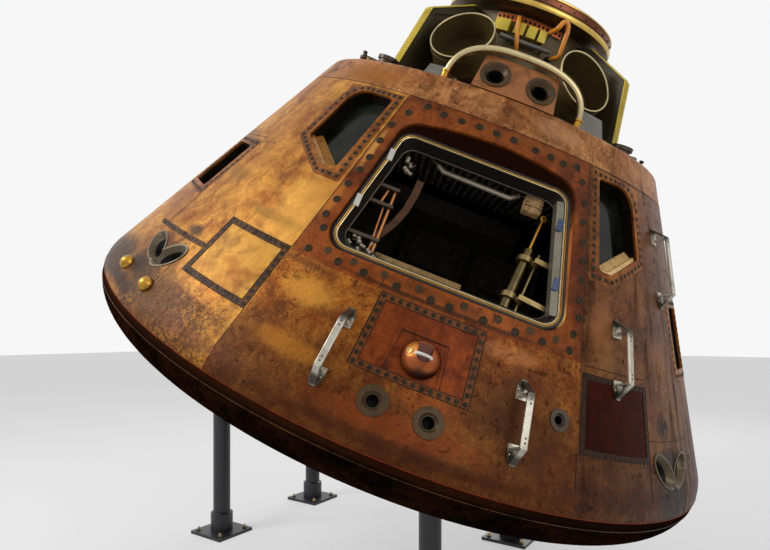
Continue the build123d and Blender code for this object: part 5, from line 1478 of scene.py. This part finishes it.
def on_deck(angle, radius, rise=0.0):
    """Frame on the deck: z up along the capsule's axis."""
    a = radians(angle)
    place = Vector((radius * sin(a), -radius * cos(a), CROWN_HEIGHT + rise))
    return to_row @ Matrix.Translation(place) @ Matrix.Rotation(a, 4, "Z")


print("can's tilt from the axis", round(degrees(CAN_TILT), 1))

# %% Cans, lips, straps and feet
CAN_RADIUS, CAN_WALL, CAN_LONG = 0.168, 0.006, 0.165
CAN_STRAP_IN, CAN_STRAP_OUT, CAN_STRAP_HALF = CAN_RADIUS - 0.001, CAN_RADIUS + 0.004, 0.009
CAN_FOOT_LOW, CAN_FOOT_HIGH = (-0.075, -0.040, 0.0006), (0.075, 0.045, 0.085)
CAN_FOOT_ANGLE, CAN_FOOT_R, CAN_FOOT_BEVEL = 31, 0.640, 0.006
can_inner = CAN_RADIUS - CAN_WALL
can_cup = [(0.002, -CAN_LONG), (CAN_RADIUS - 0.012, -CAN_LONG), (CAN_RADIUS, -CAN_LONG + 0.012),
           (CAN_RADIUS, 0.0), (can_inner, 0.0), (can_inner, 0.020 - CAN_LONG), (0.10, 0.020 - CAN_LONG),
           (0.09, 0.026 - CAN_LONG), (0.002, 0.026 - CAN_LONG)]
can_lip = [(can_inner - 0.001, -0.004), (CAN_RADIUS + 0.002, -0.004), (CAN_RADIUS + 0.003, 0.0),
           (CAN_RADIUS + 0.001, 0.003), (can_inner + 0.001, 0.003), (can_inner - 0.0015, 0.0)]


def can_strap(place, level):
    """A flat band round a can."""
    low, high = level - CAN_STRAP_HALF, level + CAN_STRAP_HALF
    section = [(CAN_STRAP_IN, low), (CAN_STRAP_OUT, low), (CAN_STRAP_OUT, high), (CAN_STRAP_IN, high)]
    return lathe(place, section, 72, loop=True)


for hand, name in ((-1, "left"), (1, "right")):
    place = can_place(hand)
    straps = [can_strap(place, level) for level in (-0.035, -0.130)]
    foot = block(on_deck(hand * CAN_FOOT_ANGLE, CAN_FOOT_R), CAN_FOOT_LOW, CAN_FOOT_HIGH, CAN_FOOT_BEVEL)
    can = piece(f"parachute_can_{name}", [lathe(place, can_cup, 72), *straps, foot], olive_coat)
    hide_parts(f"mortar_{name}")
    piece(f"parachute_can_lip_{name}", [lathe(place, can_lip, 72, loop=True)], champagne,
          crease=50)

# %% [markdown]
# ### Guard tube
# A bent tube stands over the nozzle block and keeps lines off it. It is one smooth arch, flat on top and
# steep at its feet. Straight runs with round corners would look kinked, so its path is a superellipse, and
# one number sets how square it is. It leans in a little towards its top.

# %% Guard tube
GUARD_HALF, GUARD_TOP, GUARD_R, GUARD_BEND = 0.336, 0.208, 0.0152, 2.6
GUARD_IN, GUARD_LEAN, GUARD_FOOT, LOWEST_BEND = 0.129, 0.017, 0.0006, 0.02


def on_crown(x, inward, rise):
    """Point over the crown, a distance in from its rim."""
    return to_row @ Vector((x, inward - CROWN_RIM, CROWN_HEIGHT + rise))


guard_path = [on_crown(-GUARD_HALF, GUARD_IN, GUARD_FOOT)]
for k in range(33):
    a = pi * (32 - k) / 32
    x = GUARD_HALF * abs(cos(a)) ** (2 / GUARD_BEND) * (1 if a < pi / 2 else -1)
    rise = GUARD_TOP * sin(a) ** (2 / GUARD_BEND)
    if rise > LOWEST_BEND:
        guard_path.append(on_crown(x, GUARD_IN - GUARD_LEAN * rise / GUARD_TOP, rise))
guard_path.append(on_crown(GUARD_HALF, GUARD_IN, GUARD_FOOT))
guard_tube = tube(guard_path, GUARD_R, to_row.to_3x3().col[1], 20)
guard = piece("guard_arch", [guard_tube], champagne, crease=60)
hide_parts("guard_tube")

# %% [markdown]
# ### Bands and bolts of the tunnel's ring
# The ring at the nose is machined in steps, and its faces are coated gold and rose. A face of the CAD ring
# can't be painted alone, so a thin turned band lies on each step, and a row of bolt heads stands on the rose
# one.

# %% Bands and bolts of the ring
RING_R, BAND_SEAT = 0.500, 0.0005
# name: section of (out, up) corners, finish and slot
RING_BANDS = {
    "ring_band_gold": ([(0.001, 0.018), (0.0035, 0.022), (0.0035, 0.040), (0.001, 0.044)],
                       ring_gold, "brass_metal"),
    "ring_band_upper": ([(-0.0135, 0.086), (-0.0100, 0.088), (-0.0100, 0.094), (-0.0135, 0.095)],
                        ring_gold, "brass_metal"),
    "ring_band_rose": ([(-0.0135, 0.056), (-0.0115, 0.058), (-0.0115, 0.082), (-0.0135, 0.084)],
                       ring_rose, "red_brown_shell"),
}
RING_BOLTS, RING_BOLT_IN, RING_BOLT_RISE = 36, 0.0115, 0.070
RING_BOLT = [(0.006, -0.003), (0.006, 0.003), (0.0045, 0.0045), (0.001, 0.0045)]


def facing_out(angle, radius, height):
    """Frame at a radius from the capsule's axis, z away from the axis."""
    a = radians(angle)
    out = to_row.to_3x3() @ Vector((sin(a), -cos(a), 0))
    turn = out.to_track_quat("Z", "Y").to_matrix().to_4x4()
    return Matrix.Translation(beside_axis(angle, radius, height)) @ turn


for name, (section, finish, slot) in RING_BANDS.items():
    piece(name, [level_ring(RING_R - BAND_SEAT, TUNNEL_TOP, section, 120)], finish)
ring_bolts = []
for k in range(RING_BOLTS):
    place = facing_out(360 / RING_BOLTS * k, RING_R - RING_BOLT_IN, TUNNEL_TOP + RING_BOLT_RISE)
    ring_bolts.append(lathe(place, RING_BOLT, 6))
piece("ring_bolts", ring_bolts, dark_steel)

# %% [markdown]
# ### Hose ends, collars and the perforated strip
# Each orange hose ends in a black sleeve at the tunnel, and the guard tube's feet stand in brass collars.
# Both are turned parts between two points. An orange strip with punched holes runs round the tunnel under
# its ring. Shallow dark discs stand for the holes, because nothing is seen through them.

# %% Hose ends and collars
SLEEVE_R, SLEEVE_COLLAR, SLEEVE_START = 0.0148, 0.002, 0.001
COLLAR_R, COLLAR_LIP, COLLAR_FOOT, COLLAR_TOP = 0.0185, 0.003, 0.001, 0.044
# angle, how far the sleeve reaches from the tunnel, and height over the tunnel's top
HOSE_ENDS = [(-12.5, 0.028, -0.030), (-6, 0.040, -0.195), (12.5, 0.030, -0.048), (20.5, 0.045, -0.160)]


def around_tunnel(angle, reach, rise):
    """Point off the tunnel's wall, at a height over its top."""
    return beside_axis(angle, TUNNEL_RADIUS + reach, TUNNEL_TOP + rise)


def sleeve(start, end, radius, collar):
    """A turned sleeve between two points, with a raised collar at each end."""
    axis = end - start
    place = Matrix.Translation(start) @ axis.to_track_quat("Z", "Y").to_matrix().to_4x4()
    size = axis.length
    profile = [(radius + collar, 0), (radius + collar, size * 0.18), (radius, size * 0.24),
               (radius, size * 0.76), (radius + collar, size * 0.82), (radius + collar, size)]
    return lathe(place, profile, 16)


ferrules = []
for angle, reach, rise in HOSE_ENDS:
    start, end = around_tunnel(angle, SLEEVE_START, rise), around_tunnel(angle, reach, rise)
    ferrules.append(sleeve(start, end, SLEEVE_R, SLEEVE_COLLAR))
piece("hose_ferrules", ferrules, rubber)
collars = []
for x in (-GUARD_HALF, GUARD_HALF):
    foot, top = on_crown(x, GUARD_IN, COLLAR_FOOT), on_crown(x, GUARD_IN, COLLAR_TOP)
    collars.append(sleeve(foot, top, COLLAR_R, COLLAR_LIP))
piece("guard_collars", collars, brass)

# %% Perforated strip
STRIP_LOW, STRIP_HIGH, STRIP_SEAT, STRIP_REACH = -0.044, -0.010, 0.0005, 0.0135
STRIP_HOLE = [(0.0085, -0.001), (0.0085, 0.0008), (0.0070, 0.0012), (0.0020, 0.0012)]
FIRST_HOLE, HOLE_PITCH = -30, 3.7
strip_section = [(STRIP_SEAT, STRIP_LOW), (STRIP_REACH, STRIP_LOW), (STRIP_REACH, STRIP_HIGH),
                 (STRIP_SEAT, STRIP_HIGH)]
strip_rings = []
for angle in range(-32, 25, 2):
    strip_rings.append([around_tunnel(angle, reach, rise) for reach, rise in strip_section])
piece("tunnel_strip", [loft(strip_rings)], orange_metal)
strip_middle = TUNNEL_TOP + (STRIP_LOW + STRIP_HIGH) / 2
strip_holes = []
for k in range(15):
    place = facing_out(FIRST_HOLE + HOLE_PITCH * k, TUNNEL_RADIUS + STRIP_REACH, strip_middle)
    strip_holes.append(lathe(place, STRIP_HOLE, 14))
piece("tunnel_strip_holes", strip_holes, screw_dark)

# %% [markdown]
# ### Fittings on the crown
# Small valves and brackets stand on the crown beside the left leg socket, and the deck between the webs is
# crowded with pipes and boxes. Only their larger shapes read from outside, so a few turned parts, a run of
# pipe and some boxes with bevelled edges are enough.

# %% Valves
NECK_RADIUS, NECK_RISE = 0.93, 0.036
# angle round the nose and radius of each valve
VALVES = [(-62, 0.930), (-58.5, 0.952), (66, 0.93), (118, 0.93), (-118, 0.93), (-140, 0.94)]
VALVE = [(0.022, 0.0005), (0.022, 0.010), (0.014, 0.014), (0.014, 0.030), (0.020, 0.034), (0.020, 0.046),
         (0.009, 0.050), (0.009, 0.062), (0.013, 0.066), (0.013, 0.072), (0.004, 0.076)]
VALVE_NECK = [(0.008, 0.012), (0.008, 0.046), (0.013, 0.048), (0.013, 0.062), (0.006, 0.064)]
piece("crown_valves", [lathe(on_deck(*place), VALVE, 18) for place in VALVES], dark_steel)
necks = []
for angle in (-62, 66, 118, -118):
    place = on_deck(angle, NECK_RADIUS, NECK_RISE) @ Matrix.Rotation(pi / 2, 4, "Y")
    necks.append(lathe(place, VALVE_NECK, 14))
piece("crown_valve_necks", necks, brass)

# %% Deck pipes
PIPE_R, PIPE_FOOT, PIPE_TURN = 0.009, 0.001, 5
# first and last angle, radius of the run and height over the deck
PIPE_RUNS = [(-40, -14, 0.66, 0.020), (-38, 38, 0.60, 0.022), (14, 40, 0.68, 0.020),
             (58, 122, 0.62, 0.022), (60, 120, 0.72, 0.020), (-122, -58, 0.62, 0.022),
             (-120, -60, 0.72, 0.020), (142, 218, 0.62, 0.022), (142, 218, 0.74, 0.020)]
deck_up = to_row.to_3x3().col[2]
pipes = []
for first, last, radius, rise in PIPE_RUNS:
    count = max(4, int(abs(last - first) / PIPE_TURN))
    angles = [first + (last - first) * k / count for k in range(count + 1)]
    run = [beside_axis(angle, radius, CROWN_HEIGHT + rise) for angle in angles]
    down = deck_up * (rise - PIPE_FOOT)
    pipes.append(tube([run[0] - down, *run, run[-1] - down], PIPE_R, deck_up.orthogonal(), 10))
piece("deck_pipes", pipes, aluminium)

# %% Deck boxes
BOX_FOOT, BOX_BEVEL = 0.0006, 0.008
# angle, radius, and size round the nose, across it and up
DECK_BOXES = [(-28, 0.78, 0.12, 0.09, 0.07), (30, 0.80, 0.10, 0.08, 0.06), (75, 0.83, 0.20, 0.12, 0.09),
              (105, 0.83, 0.16, 0.14, 0.07), (-75, 0.83, 0.20, 0.12, 0.09), (-104, 0.83, 0.16, 0.14, 0.07),
              (160, 0.84, 0.18, 0.12, 0.08), (180, 0.84, 0.14, 0.14, 0.10), (200, 0.84, 0.18, 0.12, 0.08)]
boxes = []
for angle, radius, wide, long, tall in DECK_BOXES:
    low, high = (-wide / 2, -long / 2, BOX_FOOT), (wide / 2, long / 2, tall)
    boxes.append(block(on_deck(angle, radius), low, high, BOX_BEVEL))
piece("deck_boxes", boxes, olive_coat)

# %% [markdown]
# ### Inside the hatch
# The cabin is dark, but its panel is covered with switches that catch the light in rows, and a strap hangs
# beside the couch. The switches are small bevelled blocks in rows on the panel's lower face. Nothing on them
# is lettered, and each guard is the same part repeated.

# %% Place of the main panel
PANEL_UNDER, PANEL_INSIDE, WALL_THICK = 0.180, 0.198, 0.120
PANEL_RUN, PANEL_FALL = 0.750, -0.145
panel_z = CROWN_BAND - PANEL_UNDER
panel_y = PANEL_INSIDE - (cone_radius(panel_z) - WALL_THICK / cos(CONE_SLOPE))
panel_tip = atan2(PANEL_FALL, PANEL_RUN)
panel_place = to_row @ Matrix.Translation((0, panel_y, panel_z)) @ Matrix.Rotation(panel_tip, 4, "X")
under_panel = panel_place @ Matrix.Rotation(pi, 4, "Y")
near_edge = panel_place @ Matrix.Rotation(pi / 2, 4, "X")
print("main panel slopes", round(degrees(panel_tip), 1), "degrees")

# %% Switches on the main panel
FIRST_ROW, ROW_PITCH, COLUMN_PITCH, EDGE_PITCH = 0.055, 0.060, 0.042, 0.030
DIAL = [(0.017, 0.0), (0.017, 0.006), (0.014, 0.009), (0.012, 0.007), (0.003, 0.007)]
# half across, lower and upper end, height and bevel
GUARD = (0.012, -0.016, 0.016, 0.008, 0.002)
SWITCH = (0.006, -0.011, 0.005, 0.016, 0.003)
EDGE_SWITCHES = [(0.009, 0.012, 0.040, 0.010, 0.002), (0.006, 0.052, 0.074, 0.014, 0.002)]


def panel_block(face, x, y, form):
    """A small bevelled block on a face of the panel."""
    half, low, high, tall, bevel = form
    return block(face, (x - half, y + low, 0.0), (x + half, y + high, tall), bevel)


switches, guards, dials = [], [], []
for row in range(11):
    y = FIRST_ROW + ROW_PITCH * row
    for column in range(-13, 14):
        x = COLUMN_PITCH * column
        if (row * 5 + column * 3) % 11 == 0:
            dials.append(lathe(under_panel @ Matrix.Translation((x, y, 0)), DIAL, 14))
        elif (row + column) % 3 == 0:
            guards.append(panel_block(under_panel, x, y, GUARD))
        else:
            switches.append(panel_block(under_panel, x, y, SWITCH))
piece("panel_switches", switches, switch_grey)
piece("panel_guards", guards, cabin_pale)
piece("panel_dials", dials, cabin_coat)
edge_switches = []
for column in range(-18, 19):
    edge_switches += [panel_block(near_edge, EDGE_PITCH * column, 0.0, form) for form in EDGE_SWITCHES]
piece("panel_edge_switches", edge_switches, switch_grey)

# %% Rods, bar and sill
ROD_DEPTH, GRAB_R, SILL_BEVEL = 0.184, 0.0128, 0.008
# inset and place up the slope of a rod's two ends, and the radius of its sleeve
ROD_LINES = [((0.165, -0.246), (0.091, 0.096), 0.0086), ((0.148, -0.246), (0.085, 0.0), 0.0056),
             ((0.064, -0.007), (0.061, 0.096), 0.0076)]
sleeves = []
for low, high, radius in ROD_LINES:
    ends = [(inset - hatch_half(y, ROD_DEPTH), y, ROD_DEPTH) for inset, y in (low, high)]
    sleeves.append(tube([beside_hatch(*end).translation for end in ends], radius, HATCH_OUT, 12))
piece("hatch_rod_sleeves", sleeves, rod_copper, crease=60)
# bends of the grab bar: across, up the slope and depth
GRAB_BENDS = [(-0.202, 0.341, 0.238), (-0.167, 0.318, 0.238), (0.168, 0.313, 0.238), (0.209, 0.344, 0.238)]
grab = [beside_hatch(*bend).translation for bend in GRAB_BENDS]
piece("grab_bar_sleeve", [tube(grab, GRAB_R, HATCH_OUT, 14)], bar_pale, crease=60)
sill_place = beside_hatch(-0.115, -0.262, 0.206)
sill = block(sill_place, (-0.205, -0.060, -0.030), (0.205, 0.042, 0.0), SILL_BEVEL)
piece("cabin_sill", [sill], canvas)

# %% Hanging strap
STRAP_HALF, STRAP_THICK = 0.018, 0.003
STRAP_LINE = [(-0.255, 0.262, 0.300), (-0.258, 0.190, 0.320), (-0.272, 0.110, 0.345),
              (-0.300, 0.030, 0.360), (-0.338, -0.040, 0.365), (-0.372, -0.100, 0.352)]
strap_rings = []
for point, along, _ in mitred([beside_hatch(*place).translation for place in STRAP_LINE]):
    side, lift = along.cross(HATCH_OUT).normalized() * STRAP_HALF, HATCH_OUT * STRAP_THICK
    strap_rings.append([point - side, point + side, point + side + lift, point - side + lift])
piece("cabin_strap", [loft(strap_rings)], webbing, crease=60)

# %% [markdown]
# ### Couch pads and the stowage bag
# A pad is a closed form that is crowned in the middle and pulled in at its seams. It could be drawn point by
# point, but cloth gives the right creases for free: a slightly smaller block is remeshed, and pressure then
# blows it up while every point is kept near where it began. The bag on the hatch's rim is made the same way.

# %% Soft forms
PAD_EDGE, SEAM_PULL, CLOTH_FRAMES = 0.28, 0.045, 15


def cushion(name, place, size, finish, voxel, swell, pressure=4.0):
    """A sewn pad: a small block, remeshed and blown up as cloth, then smoothed."""
    wide, long, deep = (v / 2 for v in size)
    rounding = PAD_EDGE * deep / max(wide, long)
    work = bmesh.new()
    bmesh.ops.create_cube(work, size=2.0)
    bmesh.ops.bevel(work, geom=work.edges[:], offset=rounding, segments=2, affect="EDGES")
    for vertex in work.verts:
        x, y, z = vertex.co
        pull = 1 - SEAM_PULL * (1 - x * x) * abs(y) ** 3 - SEAM_PULL * (1 - y * y) * abs(x) ** 3
        vertex.co = (x * wide * pull, y * long * pull, z * deep)
    mesh = bpy.data.meshes.new(name)
    work.to_mesh(mesh)
    work.free()
    made = bpy.data.objects.new(name, mesh)
    bpy.context.scene.collection.objects.link(made)
    inflate(made, voxel, swell, pressure)
    smooth = made.modifiers.new("smooth", "SUBSURF")
    smooth.levels = smooth.render_levels = 1
    apply_modifiers(made)
    made.data.transform(place)
    made.data.shade_smooth()
    made.data.materials.append(finish)
    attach(made, "capsule")
    print(name, len(made.data.polygons), "faces")
    return made


def inflate(made, voxel, swell, pressure):
    """Blow a form up as cloth, and keep each point within a distance of where it began."""
    remesh = made.modifiers.new("remesh", "REMESH")
    remesh.mode = "VOXEL"
    remesh.voxel_size = voxel
    apply_modifiers(made)
    before = [vertex.co.copy() for vertex in made.data.vertices]
    cloth = made.modifiers.new("cloth", "CLOTH")
    cloth.settings.use_pressure = True
    cloth.settings.uniform_pressure_force = pressure
    cloth.settings.effector_weights.gravity = 0
    scene = bpy.context.scene
    for step in range(CLOTH_FRAMES):
        scene.frame_set(1 + step)
    apply_modifiers(made)
    scene.frame_set(1)
    for vertex, start in zip(made.data.vertices, before):
        move = vertex.co - start
        if move.length > swell:
            vertex.co = start + move * (swell / move.length)


print("cloth runs for", CLOTH_FRAMES, "frames")

# %% Couch pads
COUCH_PITCH, COUCH_HEIGHT = 0.560, 1.010
# (along the couch, up) corners of the bent pan, from the feet to the head
COUCH_LINE = [(-1.080, 0.070), (-0.300, 0.0), (0.330, -0.030), (0.620, 0.300)]
PAN_HALF, PAD_WIDE, PAD_DEEP, PAD_GAP, PAD_SHORTER = 0.012, 0.400, 0.045, 0.008, 0.10
PAD_VOXEL, PAD_SWELL = 0.016, 0.007
for hand, side in ((-1, "left"), (0, "center"), (1, "right")):
    for (y0, z0), (y1, z1), part in zip(COUCH_LINE, COUCH_LINE[1:], ("legs", "seat", "back")):
        centre = Vector((hand * COUCH_PITCH, (y0 + y1) / 2, COUCH_HEIGHT + (z0 + z1) / 2))
        tip = atan2(z1 - z0, y1 - y0)
        place = to_row @ Matrix.Translation(centre) @ Matrix.Rotation(tip, 4, "X")
        place = place @ Matrix.Translation((0, 0, PAN_HALF + PAD_DEEP / 2 + PAD_GAP))
        size = (PAD_WIDE, hypot(y1 - y0, z1 - z0) - PAD_SHORTER, PAD_DEEP)
        cushion(f"couch_pad_{part}_{side}", place, size, couch_cloth, PAD_VOXEL, PAD_SWELL)

# %% Stowage bag
BAG_SIZE, BAG_VOXEL, BAG_SWELL, BAG_PRESSURE, BAG_FILL = (0.088, 0.098, 0.044), 0.005, 0.006, 3.0, 0.45
bag_place = beside_hatch(0.276, 0.282, RIM_BACK + 0.028)
bag = cushion("hatch_bag", bag_place, BAG_SIZE, canvas, BAG_VOXEL, BAG_SWELL, BAG_PRESSURE)
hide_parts("stowage_bag")
BAG_STRAP_REACH, BAG_STRAP_HALF, BAG_STRAP_LOW, BAG_STRAP_TOP = 0.040, 0.004, 0.018, 0.0255
bag_straps = []
for y in (-0.018, 0.0, 0.020):
    low = (-BAG_STRAP_REACH, y - BAG_STRAP_HALF, BAG_STRAP_LOW)
    high = (BAG_STRAP_REACH, y + BAG_STRAP_HALF, BAG_STRAP_TOP)
    bag_straps.append(block(bag_place, low, high, 0.002))
piece("hatch_bag_straps", bag_straps, webbing)

# %% [markdown]
# ### The stand
# Each post ends in a base plate that is bolted to the floor, with a wider sleeve round the post's foot. The
# plates' holes come from the CAD model. Each gets a washer, a hexagon nut and the end of its bolt, and a
# sloping collar closes the top of each sleeve.

# %% Anchor bolts and collars
POSTS = [(-1.270, -0.530), (-1.270, 0.530), (0.560, -0.620), (0.560, 0.620)]
BOLT_OUT, PLATE_TOP = 0.120, 0.022
WASHER = [(0.020, 0.0004), (0.020, 0.003), (0.018, 0.0036), (0.004, 0.0036)]
NUT = [(0.0135, 0.003), (0.0135, 0.013), (0.0115, 0.0155), (0.003, 0.0155)]
BOLT_END = [(0.0075, 0.012), (0.0075, 0.026), (0.0062, 0.028), (0.002, 0.028)]
POST_COLLAR = [(0.0632, 0.150), (0.0815, 0.150), (0.0790, 0.156), (0.0640, 0.162), (0.0632, 0.162)]
anchors, washers, post_collars = [], [], []
for x, y in POSTS:
    for dx in (-BOLT_OUT, BOLT_OUT):
        for dy in (-BOLT_OUT, BOLT_OUT):
            place = Matrix.Translation((x + dx, y + dy, PLATE_TOP))
            washers.append(lathe(place, WASHER, 20))
            anchors += [lathe(place, NUT, 6), lathe(place, BOLT_END, 12)]
    post_collars.append(lathe(Matrix.Translation((x, y, 0)), POST_COLLAR, 40, loop=True))
piece("anchor_bolts", anchors, bright_rim)
piece("anchor_washers", washers, dark_steel)
piece("post_collars", post_collars, stand_coat)
